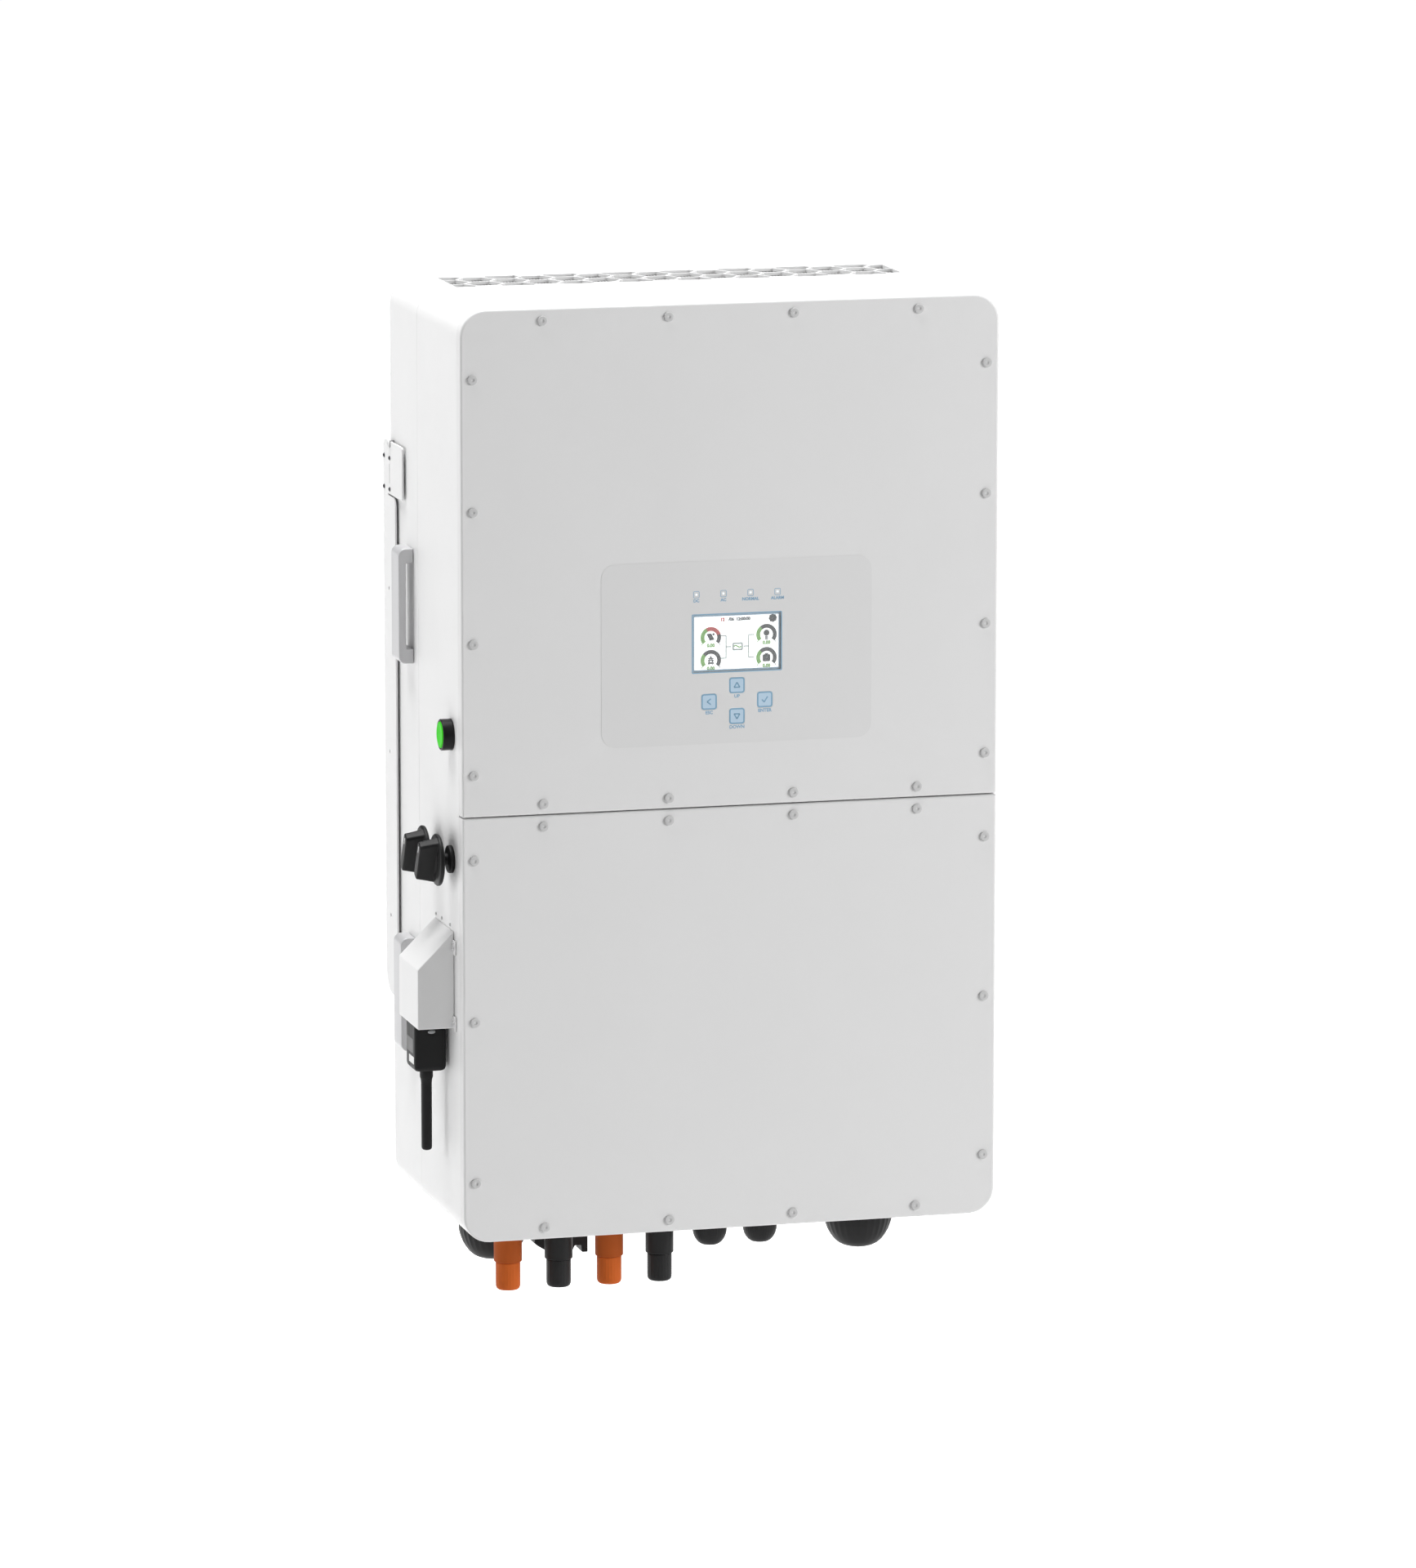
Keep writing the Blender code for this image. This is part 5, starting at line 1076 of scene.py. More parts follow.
def switch_knob(name, centre, reach, radius):
    """Turned disc with a tapered grip across it and a pointer line on the grip's edge."""
    top = KNOB_INNER + KNOB_DISC_T
    profile = [
        (0, top + 0.0006), (radius * 0.55, top + 0.0005), (radius - 0.0024, top),
        (radius - 0.0008, top - 0.0006), (radius, top - 0.0016), (radius, KNOB_INNER + 0.0012),
        (radius - 0.0004, KNOB_INNER + 0.0004), (radius - 0.0012, KNOB_INNER),
        (SHAFT_R - 0.0004, KNOB_INNER), (SHAFT_R - 0.0004, 0.0020), (0, 0.0020),
    ]
    disc = soften(add_object("knob_disc", lathe(bmesh.new(), profile, (0, 0, 0), OUT_LEFT, 64),
                             "black_plastic"))
    disc = settle(disc)
    shape = bmesh.new()
    root, tip = KNOB_INNER + 0.0025, reach
    belly = GRIP_HALF_T
    levels = 6
    rings = []
    for step in range(levels + 1):
        share = step / levels
        half_length = GRIP_ROOT + (GRIP_TIP - GRIP_ROOT) * share
        half_thick = belly + 0.0010 * (1 - share) ** 2
        outline = corner_ring(half_thick, half_length, min(half_thick * 0.55, 0.0030), 4)
        rings.append([(-(root + (tip - root) * share), y, z) for y, z in outline])
    loft(shape, rings)
    grip = settle(soften(add_object("knob_grip", shape, "black_plastic"), 0.0013, 3,
                         math.radians(50)))
    knob = combine(disc, grip, "UNION")
    knob.name = "dc_switch_%s_handle" % name
    knob.data.transform(Matrix.Translation(centre) @ Matrix.Rotation(SWITCH_LEAN, 4, "X"))
    soften(knob)
    mark = bmesh.new()
    block(mark, (-reach - 0.00015, -0.0006, GRIP_TIP - 0.0095),
          (-reach + 0.0003, 0.0006, GRIP_TIP - 0.0028))
    pointer = add_object("dc_switch_%s_pointer" % name, mark, "label_white")
    pointer.data.transform(Matrix.Translation(centre) @ Matrix.Rotation(SWITCH_LEAN, 4, "X"))
    soften(pointer)
    return knob, pointer


def dc_switches():
    """Knobs, and the bodies whose collars they stand on."""
    for name in ("front", "rear"):
        node = "dc_switch_%s_knob" % name
        low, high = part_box(node)
        spot = middle(node)
        centre = Vector((-HALF_W, spot.y, spot.z))
        knob, pointer = switch_knob(name, centre, -HALF_W - low.x, (high.z - low.z) / 2)
        place(knob, "black_plastic", node, body="switch_" + name)
        place(pointer, "black_plastic", body="switch_" + name)
        body_node = "dc_switch_%s_body" % name
        low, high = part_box(body_node)
        bore, collar_top = 0.0058, 0.0050
        profile = [
            (0, 0.0010), (SHAFT_R, 0.0010), (SHAFT_R, KNOB_INNER - 0.0006),
            (bore, KNOB_INNER - 0.0006), (bore, collar_top + 0.0004), (bore + 0.0005, collar_top),
            (COLLAR_R - 0.0016, collar_top - 0.0001), (COLLAR_R - 0.0005, collar_top - 0.0006),
            (COLLAR_R, collar_top - 0.0016), (COLLAR_R, GAP), (0.0060, GAP), (0.0060, -0.0120),
            (0, -0.0120),
        ]
        shape = lathe(bmesh.new(), profile, centre, OUT_LEFT, 56)
        collar = soften(add_object("dc_switch_%s_collar" % name, shape, "black_plastic"))
        place(collar, "black_plastic", body_node)
        box_shape = bmesh.new()
        block(box_shape, (-HALF_W + SHEET + GAP, low.y, low.z), (high.x, high.y, high.z))
        box_piece = soften(add_object("dc_switch_%s_mechanism" % name, box_shape, "black_plastic"),
                           0.0015)
        place(box_piece, "black_plastic", body_node)


HOOD_SHEET = 0.0015
HOOD_SHOULDER_DROP = 0.036
ANTENNA_R = 0.0052
ANTENNA_NUT_R = 0.0064


def hood_outline(low, high, inset, open_by):
    """Side view of the hood: sloped top, upright face, open below and towards the wall."""
    outer, inner = low.x + inset, high.x + open_by
    slope = inset * 1.45
    return [
        (inner, high.z - slope + open_by), (outer, high.z - HOOD_SHOULDER_DROP - slope + inset),
        (outer, low.z - open_by), (inner, low.z - open_by),
    ]


def side_screw(shape, centre, radius, height):
    """Small pan-head screw on the left side."""
    profile = [
        (0, height * 0.55), (radius * 0.34, height * 0.55), (radius * 0.36, height),
        (radius * 0.70, height * 0.93), (radius * 0.93, height * 0.60), (radius, height * 0.15),
        (radius, -0.0004), (0, -0.0004),
    ]
    return lathe(shape, profile, centre, OUT_LEFT, 24)


def logger_hood():
    """Bent sheet hood with four screwed tabs."""
    low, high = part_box("logger_hood")
    # The tabs reach past the sheet all round, so the sheet's own corners are set back from the box.
    tab_y, tab_z, tab_lap = 0.010, 0.014, 0.001
    front, back = low.y + tab_y - tab_lap, high.y - tab_y + tab_lap
    sheet_low = Vector((low.x, front, low.z + 0.002))
    sheet_high = Vector((-HALF_W - GAP, back, high.z))
    shape = prism(bmesh.new(), hood_outline(sheet_low, sheet_high, 0, 0), front, back, "XZ")
    hood = settle(soften(add_object("hood", shape, "hood_paint"), 0.0011, 3))
    pocket = prism(
        bmesh.new(), hood_outline(sheet_low, sheet_high, HOOD_SHEET, 0.003), front + HOOD_SHEET,
        back - HOOD_SHEET, "XZ",
    )
    carve(hood, pocket)
    hood.name = "logger_hood_sheet"
    place(soften(hood), "white_paint", "logger_hood")
    tabs, screws = bmesh.new(), bmesh.new()
    wall = -HALF_W - GAP
    for tab_low_y in (front - tab_y + tab_lap, back - tab_lap):
        for tab_low_z in (sheet_high.z - 0.022, sheet_low.z - 0.002):
            block(tabs, (wall - HOOD_SHEET, tab_low_y, tab_low_z),
                  (wall, tab_low_y + tab_y, tab_low_z + tab_z))
            shift = -0.0008 if tab_low_y < front else 0.0008
            centre = (wall - HOOD_SHEET, tab_low_y + tab_y / 2 + shift, tab_low_z + tab_z / 2)
            side_screw(screws, centre, 0.0030, 0.0018)
    place(soften(add_object("hood_tabs", tabs, "hood_paint"), 0.0005), "white_paint", "logger_hood")
    place(soften(add_object("hood_screws", screws, "satin_metal")), "frame_steel", "logger_hood")
    dots = bmesh.new()
    for y in (front + 0.016, (front + back) / 2 + 0.011, back - 0.004):
        side_screw(dots, (-HALF_W - 0.0001, y, sheet_high.z + 0.0036), 0.0017, 0.0009)
    place(soften(add_object("wall_screws", dots, "screw_steel")), "frame_steel")


def logger_socket():
    """Socket box under the hood, with its neck and the stem through the wall."""
    low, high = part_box("logger_socket")
    centre = middle("data_logger")
    shape = bmesh.new()
    box_low_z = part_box("data_logger")[1].z + 0.0103
    block(shape, (low.x, centre.y - 0.012, box_low_z), (-HALF_W - GAP, centre.y + 0.012, high.z))
    place(soften(add_object("logger_socket_box", shape, "black_plastic"), 0.001), "black_plastic",
          "logger_socket")
    neck = bmesh.new()
    lathe(neck, [(0, 0.0118), (0.0085, 0.0118), (0.0085, 0.0003), (0, 0.0003)],
          (centre.x, centre.y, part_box("data_logger")[1].z), (0, 0, 1), 40)
    lathe(neck, [(0, -0.0100), (0.0060, -0.0100), (0.0060, 0.0020), (0, 0.0020)],
          (-HALF_W, centre.y, LOGGER_STEM_Z), OUT_LEFT, 32)
    place(soften(add_object("logger_socket_neck", neck, "black_plastic"), 0.0004), "black_plastic",
          "logger_socket")


def data_logger():
    """Logger case with its seam, lens and labels."""
    centre = middle("data_logger")
    low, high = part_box("data_logger")
    corner, chamfer = 0.0032, 0.0045
    half_x, half_y = (high.x - low.x) / 2, (high.y - low.y) / 2
    rings = []
    for inset, z in (
        (0.0006, high.z), (0, high.z - 0.0006), (0, low.z + chamfer), (0.0006, low.z + 0.0022),
        (0.0016, low.z + 0.0008), (0.0032, low.z),
    ):
        outline = corner_ring(half_x - inset, half_y - inset, corner, 6, (centre.x, centre.y))
        rings.append([in_space(p, z, "XY") for p in outline])
    logger = add_object("logger_case", loft(bmesh.new(), rings), "black_plastic")
    seams = bmesh.new()
    seam_y = centre.y + 0.004
    block(seams, (low.x - 0.001, seam_y, low.z - 0.001),
          (low.x + 0.0004, seam_y + 0.0005, high.z + 0.001))
    carve(logger, seams)
    place(soften(logger), "black_plastic", "data_logger")
    lens = bmesh.new()
    lathe(
        lens, [(0, 0.0010), (0.0018, 0.0009), (0.0034, 0.0005), (0.0040, -0.0003), (0, -0.0003)],
        (0, 0, 0), (0, -1, 0), 32,
    )
    lens_piece = add_object("logger_lens", lens, "label_grey_light")
    flatten = Matrix.Scale(0.5, 4, (0, 0, 1))
    lens_piece.data.transform(
        Matrix.Translation((centre.x + 0.0010, low.y, high.z - 0.0352)) @ flatten
    )
    place(soften(lens_piece), "clear_plastic")
    x = low.x - 0.00015
    for y_low, y_high, z_low, z_high, target in (
        (centre.y - 0.0115, centre.y + 0.0155, high.z - 0.0570, high.z - 0.0430, "label_grey"),
        (centre.y - 0.0145, centre.y + 0.0055, high.z - 0.0670, high.z - 0.0600, "label_white"),
    ):
        label = bmesh.new()
        prism(label, [(y_low, z_low), (y_high, z_low), (y_high, z_high), (y_low, z_high)], x,
              low.x + 0.0001, "YZ")
        place(add_object("logger_" + target, label, target, False), "black_plastic")


def logger_antenna():
    """Antenna rod and the nut that holds it under the logger."""
    spot = middle("logger_antenna")
    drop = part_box("data_logger")[0].z - GAP
    tip, rod_r, nut_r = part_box("logger_antenna")[0].z, ANTENNA_R, ANTENNA_NUT_R
    profile = [
        (0, drop + 0.005), (0.0026, drop + 0.005), (0.0026, drop), (nut_r - 0.0003, drop),
        (nut_r, drop - 0.0004), (nut_r, drop - 0.0078), (nut_r - 0.0005, drop - 0.0092),
        (rod_r + 0.0002, drop - 0.0118), (rod_r, drop - 0.0140), (rod_r * 0.985, tip + 0.0036),
        (rod_r * 0.93, tip + 0.0018), (rod_r * 0.76, tip + 0.0006), (rod_r * 0.45, tip), (0, tip),
    ]
    shape = lathe(bmesh.new(), profile, (spot.x, spot.y, 0), (0, 0, 1), 40)
    place(soften(add_object("logger_antenna_rod", shape, "black_plastic")), "black_plastic",
          "logger_antenna")


# ------------------------------------------------------------------------------------------
# Handles and wall bracket

HANDLE_BAR = 0.0076
HANDLE_FOOT = 0.014
HANDLE_BEND = 0.0070


def handles():
    """Bow handles bent from flat bar, with rounded edges."""
    for side, sign in (("left", -1), ("right", 1)):
        for level in ("upper", "lower"):
            node = "handle_%s_%s" % (side, level)
            low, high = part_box(node)
            outer = low.x if sign < 0 else high.x
            inner = high.x if sign < 0 else low.x
            under, bend_x = outer - sign * HANDLE_BAR, outer - sign * HANDLE_BEND
            low_bend = arc_points((0, low.z + HANDLE_BEND), HANDLE_BEND, 270, 360, 7)
            bend = [(bend_x + sign * x, z) for x, z in low_bend]
            outline = [(inner, low.z)] + bend
            outline += [(x, low.z + high.z - z) for x, z in reversed(bend)]
            outline += [
                (inner, high.z), (inner, high.z - HANDLE_FOOT), (under, high.z - HANDLE_FOOT),
                (under, low.z + HANDLE_FOOT), (inner, low.z + HANDLE_FOOT),
            ]
            shape = prism(bmesh.new(), outline, low.y, high.y, "XZ")
            bow = soften(add_object(node + "_bow", shape, "satin_metal"), 0.0013, 3)
            place(bow, "handle_metal", node)


COVERS_TO_WALL = 0.304
BRACKET_SHEET = 0.0025
FLANGE_SHEET = 0.002
FLANGE_FRONT_Y = 0.256 - COVERS_TO_WALL
FLANGE_REAR_R = 0.024
FLANGE_FRONT_R = 0.008
EAR_R = 0.003
EAR_SLOT = 0.0016
EAR_SLOT_BACK_Y = 0.285 - COVERS_TO_WALL
SHOULDER_R = 0.010
EAR_LOW_Z = 0.236
PLATE_LOW_Z = -0.230
WINDOWS = ((0.125, 0.095, -0.190, -0.045), (0.125, 0.095, 0.045, 0.180))
WINDOW_R = 0.012
ANCHORS = [(x, z) for x in (-0.200, 0.0, 0.200) for z in (-0.210, 0.240)]
ANCHOR_R = 0.0055
FLANGE_DOT_Y = 0.284 - COVERS_TO_WALL
FLANGE_DOT_ZS = (0.143, -0.018, -0.180)
EAR_RIB_Y = 0.2785 - COVERS_TO_WALL
EAR_SCREW_YS = (0.2765 - COVERS_TO_WALL, 0.3000 - COVERS_TO_WALL)
EAR_SCREW_ZS = (0.2410, 0.2714)
RIVET = [(0, 0.0015), (0.0013, 0.0013), (0.0022, 0.0004), (0.0023, -0.0004), (0, -0.0004)]
EAR_NOTCH_R = 0.0033
EAR_SHANK_R = 0.0030
CLEAT = (0.205, 0.420, 0.014, 0.002, 0.0035)    # height, width, lip, thickness and stand-off


def flange_outline(low, high):
    """Side flange with its wide ear at the top, as (y, z)."""
    front, ear, back = FLANGE_FRONT_Y, low.y, high.y
    outline = []
    for y, z, radius, start, end, steps in (
        (front + FLANGE_FRONT_R, low.z + FLANGE_FRONT_R, FLANGE_FRONT_R, 180, 270, 8),
        (back - FLANGE_REAR_R, low.z + FLANGE_REAR_R, FLANGE_REAR_R, 270, 360, 12),
        (back - FLANGE_FRONT_R, high.z - FLANGE_FRONT_R, FLANGE_FRONT_R, 0, 90, 8),
        (ear + EAR_R, high.z - EAR_R, EAR_R, 90, 180, 5),
        (ear + EAR_R, EAR_LOW_Z + EAR_R, EAR_R, 180, 270, 5),
    ):
        outline += arc_points((y, z), radius, start, end, steps)
    outline += [(EAR_SLOT_BACK_Y, EAR_LOW_Z), (EAR_SLOT_BACK_Y, EAR_LOW_Z - EAR_SLOT)]
    shoulder_z = EAR_LOW_Z - EAR_SLOT - SHOULDER_R
    outline += arc_points((front + SHOULDER_R, shoulder_z), SHOULDER_R, 90, 180, 10)
    return outline


def wall_bracket():
    """Back plate with windows, side flanges with ears, and the cleat lip."""
    low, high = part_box("wall_bracket")
    back, plate_front = high.y, high.y - BRACKET_SHEET
    edge = high.x
    plate = bmesh.new()
    block(plate, (-edge + FLANGE_SHEET, plate_front, PLATE_LOW_Z),
          (edge - FLANGE_SHEET, back, high.z - FLANGE_FRONT_R))
    plate = add_object("bracket_plate", plate, "housing_paint")
    cutter = bmesh.new()
    for x, half, z_low, z_high in WINDOWS:
        for sign in (-1, 1):
            centre = (sign * x, (z_low + z_high) / 2)
            outline = corner_ring(half, (z_high - z_low) / 2, WINDOW_R, centre=centre)
            prism(cutter, outline, plate_front - 0.003, back + 0.003, "XZ")
    for x, z in ANCHORS:
        drill(cutter, (x, back + 0.003, z), (0, -1, 0), ANCHOR_R, 0.009)
    carve(plate, cutter)
    place(soften(plate, 0.0004), "white_paint", "wall_bracket")
    cleat_z, cleat_w, cleat_h, cleat_t, stand = CLEAT
    lip_back = plate_front - stand
    lip_front = lip_back - cleat_t
    lip = [
        (plate_front, cleat_z), (plate_front, cleat_z + cleat_t), (lip_back, cleat_z + cleat_t),
        (lip_back, cleat_z + cleat_h), (lip_front, cleat_z + cleat_h), (lip_front, cleat_z),
    ]
    lip_shape = prism(bmesh.new(), lip, -cleat_w / 2, cleat_w / 2, "YZ")
    place(soften(add_object("bracket_cleat", lip_shape, "housing_paint"), 0.0004), "white_paint",
          "wall_bracket")
    bolt = middle("ear_bolt_left")
    for side, sign in (("left", -1), ("right", 1)):
        flange = prism(
            bmesh.new(), flange_outline(low, high), sign * edge, sign * (edge - FLANGE_SHEET), "YZ"
        )
        flange = add_object("bracket_flange_" + side, flange, "housing_paint")
        notch = bmesh.new()
        block(notch, (sign * edge - 0.004, bolt.y - EAR_NOTCH_R, bolt.z - EAR_NOTCH_R),
              (sign * edge + 0.004, bolt.y + EAR_NOTCH_R, high.z + 0.003))
        for z in FLANGE_DOT_ZS:
            drill(notch, (sign * (edge - 0.006), FLANGE_DOT_Y, z), (sign, 0, 0), 0.0021, 0.012, 20)
        carve(flange, notch)
        place(soften(flange, 0.0005, 2), "white_paint", "wall_bracket")
        ear_details(side, sign, edge)


def ear_details(side, sign, edge):
    """Pressed rib along the ear and the four rivets at its corners."""
    rib = bmesh.new()
    outline = corner_ring(0.0010, 0.0095, 0.0009, 4, (EAR_RIB_Y, sum(EAR_SCREW_ZS) / 2))
    prism(rib, outline, sign * (edge - 0.0005), sign * (edge + 0.0005), "YZ")
    place(soften(add_object("bracket_rib_" + side, rib, "housing_paint"), 0.0003), "white_paint")
    rivets = bmesh.new()
    for y in EAR_SCREW_YS:
        for z in EAR_SCREW_ZS:
            lathe(rivets, RIVET, (sign * edge, y, z), (sign, 0, 0), 20)
    place(soften(add_object("bracket_rivets_" + side, rivets, "dark_bolt")), "bolt_steel")


def ear_bolts():
    """Bolts in the ears' open notches: a painted socket head on a dark shank."""
    for side, sign in (("left", -1), ("right", 1)):
        node = "ear_bolt_" + side
        spot = middle(node)
        low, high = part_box(node)
        head_r = (high.z - low.z) / 2
        top = max(abs(low.x), abs(high.x)) - HALF_W
        base, tip = top - 0.0018, -0.006
        profile = [
            (0, top - 0.0010), (0.0019, top - 0.0010), (0.0020, top), (head_r - 0.0010, top),
            (head_r - 0.0003, top - 0.0003), (head_r, top - 0.0010), (head_r, base), (0, base),
        ]

        def socket(level, angle):
            if level not in (1, 2):
                return 1.0
            part = (angle + math.pi / 6) % (math.pi / 3) - math.pi / 6
            return 0.9 / math.cos(part)

        centre, outwards = (sign * HALF_W, spot.y, spot.z), (sign, 0, 0)
        shape = lathe(bmesh.new(), profile, centre, outwards, 48, socket)
        place(soften(add_object(node + "_head", shape, "housing_paint")), "bolt_steel", node)
        shank = [(0, base), (EAR_SHANK_R, base), (EAR_SHANK_R, tip), (0, tip)]
        shank_shape = lathe(bmesh.new(), shank, centre, outwards, 32)
        place(soften(add_object(node + "_shank", shank_shape, "dark_bolt")), "bolt_steel", node)


# ------------------------------------------------------------------------------------------
# Bottom


def through_wall(nut_r, neck_r, nut_t):
    """Start of a lathe profile: the nut inside the case and the neck in the wall's hole."""
    return [
        (0, SHEET + nut_t), (nut_r, SHEET + nut_t), (nut_r, SHEET + GAP), (neck_r, SHEET + GAP),
        (neck_r, -GAP),
    ]


def battery_connectors():
    """Capped connectors: flange, sleeve and a narrower cap with a soft rim."""
    for node in ("battery_plus_1", "battery_minus_1", "battery_plus_2", "battery_minus_2"):
        is_plus = "plus" in node
        cap_look = "orange_plastic" if is_plus else "black_plastic"
        # The plus sleeves take the darker orange, which is painted shade under the case bottom.
        sleeve_look = "orange_painted_shade" if is_plus else "black_plastic"
        spot = middle(node)
        flange, sleeve, cap = 0.0165, 0.0136, 0.0118
        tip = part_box(node)[0].z + HALF_H
        step = tip + 0.0275
        centre = (spot.x, spot.y, -HALF_H)
        sleeve_profile = through_wall(0.0135, 0.0100, 0.006) + [
            (flange - 0.0004, -0.0003), (flange, -0.0008), (flange, -0.0031),
            (flange - 0.0005, -0.0036), (sleeve + 0.0006, -0.0041), (sleeve, -0.0050),
            (sleeve, step + 0.0010),
            (sleeve - 0.0004, step + 0.0003), (sleeve - 0.0012, step), (0, step),
        ]
        shape = lathe(bmesh.new(), sleeve_profile, centre, (0, 0, 1), 56)
        place(soften(add_object(node + "_sleeve", shape, sleeve_look)), cap_look, node)

        def ribs(level, angle):
            return 1 + (0.010 * math.cos(24 * angle) if 2 <= level <= 3 else 0)

        cap_profile = [
            (0, step + 0.0008), (cap - 0.0002, step + 0.0008), (cap, step - 0.0016),
            (cap, tip + 0.0060), (cap, tip + 0.0034), (cap - 0.0006, tip + 0.0016),
            (cap - 0.0019, tip + 0.0004), (cap - 0.0036, tip), (0, tip),
        ]
        shape = lathe(bmesh.new(), cap_profile, centre, (0, 0, 1), 96, ribs)
        place(soften(add_object(node + "_cap", shape, cap_look)), cap_look, node)


def signal_glands():
    """Blanked glands: body with flats and a ribbed dome nut."""
    for node in ("signal_gland_1", "signal_gland_2"):
        spot = middle(node)
        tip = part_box(node)[0].z + HALF_H
        profile = through_wall(0.0135, 0.0100, 0.005) + [
            (0.0170, -0.0003), (0.0172, -0.0010), (0.0171, -0.0060), (0.0169, -0.0130),
            (0.0168, -0.0150), (0.0163, -0.0195), (0.0152, -0.0235), (0.0136, -0.0268),
            (0.0113, -0.0296), (0.0086, -0.0314), (0.0060, tip + 0.0002), (0.0052, tip), (0, tip),
        ]

        def ribs(level, angle):
            return 1 + (0.012 * (math.cos(18 * angle) ** 4 - 0.5) if 8 <= level <= 12 else 0)

        shape = lathe(bmesh.new(), profile, (spot.x, spot.y, -HALF_H), (0, 0, 1), 144, ribs)
        place(soften(add_object(node + "_body", shape, "black_plastic")), "black_plastic", node)


def cable_glands():
    """Large blanked glands: flange, grip ribs and a dome."""
    for node in ("cable_gland_left", "cable_gland_right"):
        spot = middle(node)
        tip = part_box(node)[0].z + HALF_H
        profile = through_wall(0.0300, 0.0250, 0.008) + [
            (0.0392, -0.0003), (0.0395, -0.0008), (0.0395, -0.0044), (0.0390, -0.0050),
            (0.0340, -0.0058), (0.0335, -0.0066), (0.0334, -0.0120), (0.0330, -0.0188),
            (0.0318, -0.0235), (0.0296, -0.0296), (0.0270, -0.0346), (0.0238, -0.0390),
            (0.0200, -0.0425), (0.0160, -0.0447), (0.0120, tip), (0, tip),
        ]

        def ribs(level, angle):
            return 1 + (0.016 * (math.cos(15 * angle) ** 4 - 0.5) if 10 <= level <= 14 else 0)

        shape = lathe(bmesh.new(), profile, (spot.x, spot.y, -HALF_H), (0, 0, 1), 180, ribs)
        place(soften(add_object(node + "_body", shape, "black_plastic")), "black_plastic", node)


PV_COUNT = 6
PV_BASE_T = 0.010


def pv_connectors():
    """Moulded strip with a row of capped sockets."""
    node = "pv_connector_block"
    low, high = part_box(node)
    spot = middle(node)
    strip = bmesh.new()
    block(strip, (low.x, low.y, -HALF_H - PV_BASE_T), (high.x, high.y, -HALF_H - GAP))
    place(soften(add_object("pv_strip", strip, "black_plastic"), 0.0012, 3), "black_plastic", node)
    tongue = bmesh.new()
    inset = TONGUE_INSET
    block(tongue, (low.x + inset, low.y + inset, -HALF_H - 0.0002),
          (high.x - inset, high.y - inset, high.z))
    place(soften(add_object("pv_tongue", tongue, "black_plastic"), 0.0006), "black_plastic", node)
    pitch = (high.x - low.x) / PV_COUNT
    length = low.z + HALF_H
    barrels, rings = bmesh.new(), bmesh.new()
    for index in range(PV_COUNT):
        centre = (low.x + (index + 0.5) * pitch, spot.y, -HALF_H)
        profile = [
            (0, -PV_BASE_T + 0.0010), (0.0086, -PV_BASE_T + 0.0010), (0.0086, -0.0145),
            (0.0078, -0.0152), (0.0078, -0.0170), (0.0088, -0.0178), (0.0088, length + 0.0016),
            (0.0082, length + 0.0004), (0.0070, length), (0.0052, length),
            (0.0050, length + 0.0040), (0, length + 0.0040),
        ]
        lathe(barrels, profile, centre, (0, 0, 1), 36)
        lathe(rings, [(0, -0.0151), (0.0081, -0.0151), (0.0083, -0.0161), (0.0081, -0.0171),
                      (0, -0.0171)], centre, (0, 0, 1), 32)
    place(soften(add_object("pv_sockets", barrels, "black_plastic")), "black_plastic", node)
    place(soften(add_object("pv_seals", rings, "black_rubber")), "gasket_rubber", node)


def port_cover():
    """Snap-on port cover with a latch hook."""
    node = "port_cover"
    low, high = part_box(node)
    top = -HALF_H - GAP
    base = low.z + 0.011
    outline = [
        (low.x, top), (low.x, base), (low.x + 0.004, base - 0.003), (low.x + 0.013, base - 0.0085),
        (high.x - 0.015, base - 0.0085), (high.x - 0.013, base - 0.0040),
        (high.x - 0.0065, base - 0.0040), (high.x - 0.0058, low.z), (high.x, low.z), (high.x, top),
    ]
    shape = prism(bmesh.new(), outline, low.y, high.y, "XZ")
    place(soften(add_object("port_cover_shell", shape, "black_plastic"), 0.0009, 3),
          "black_plastic", node)
    plug = bmesh.new()
    spot = middle(node)
    drill(plug, (spot.x, spot.y, top), (0, 0, 1), 0.008, 0.0095)
    place(soften(add_object("port_cover_plug", plug, "black_plastic"), 0.0005),
          "black_plastic", node)


# ------------------------------------------------------------------------------------------
# Fans

BLADES = 7
BLADE_LEVELS = 5
HUB_R = 0.0190
HUB_LENGTH = 0.0200
HUB_BORE_R = 0.0018
BLADE_R = 0.0425
BLADE_BITE = 0.0015              # how far a blade's root reaches into the hub
BLADE_PITCH, PITCH_FALL = 52, 24            # degrees at the root, and less towards the tip
BLADE_CHORD, CHORD_GROWTH = 0.0170, 0.0040
BLADE_SWEEP = 0.22
BLADE_HALF_THICK = 0.0007
BLADE_HALF_HEIGHT = 0.0092
BLADE_SECTION = (                # along and across the chord, each from -1 to 1
    (-1, 0), (-0.5, 0.6), (0, 1), (0.5, 0.8), (1, 0), (0.5, -0.4), (0, -0.5), (-0.5, -0.4),
)


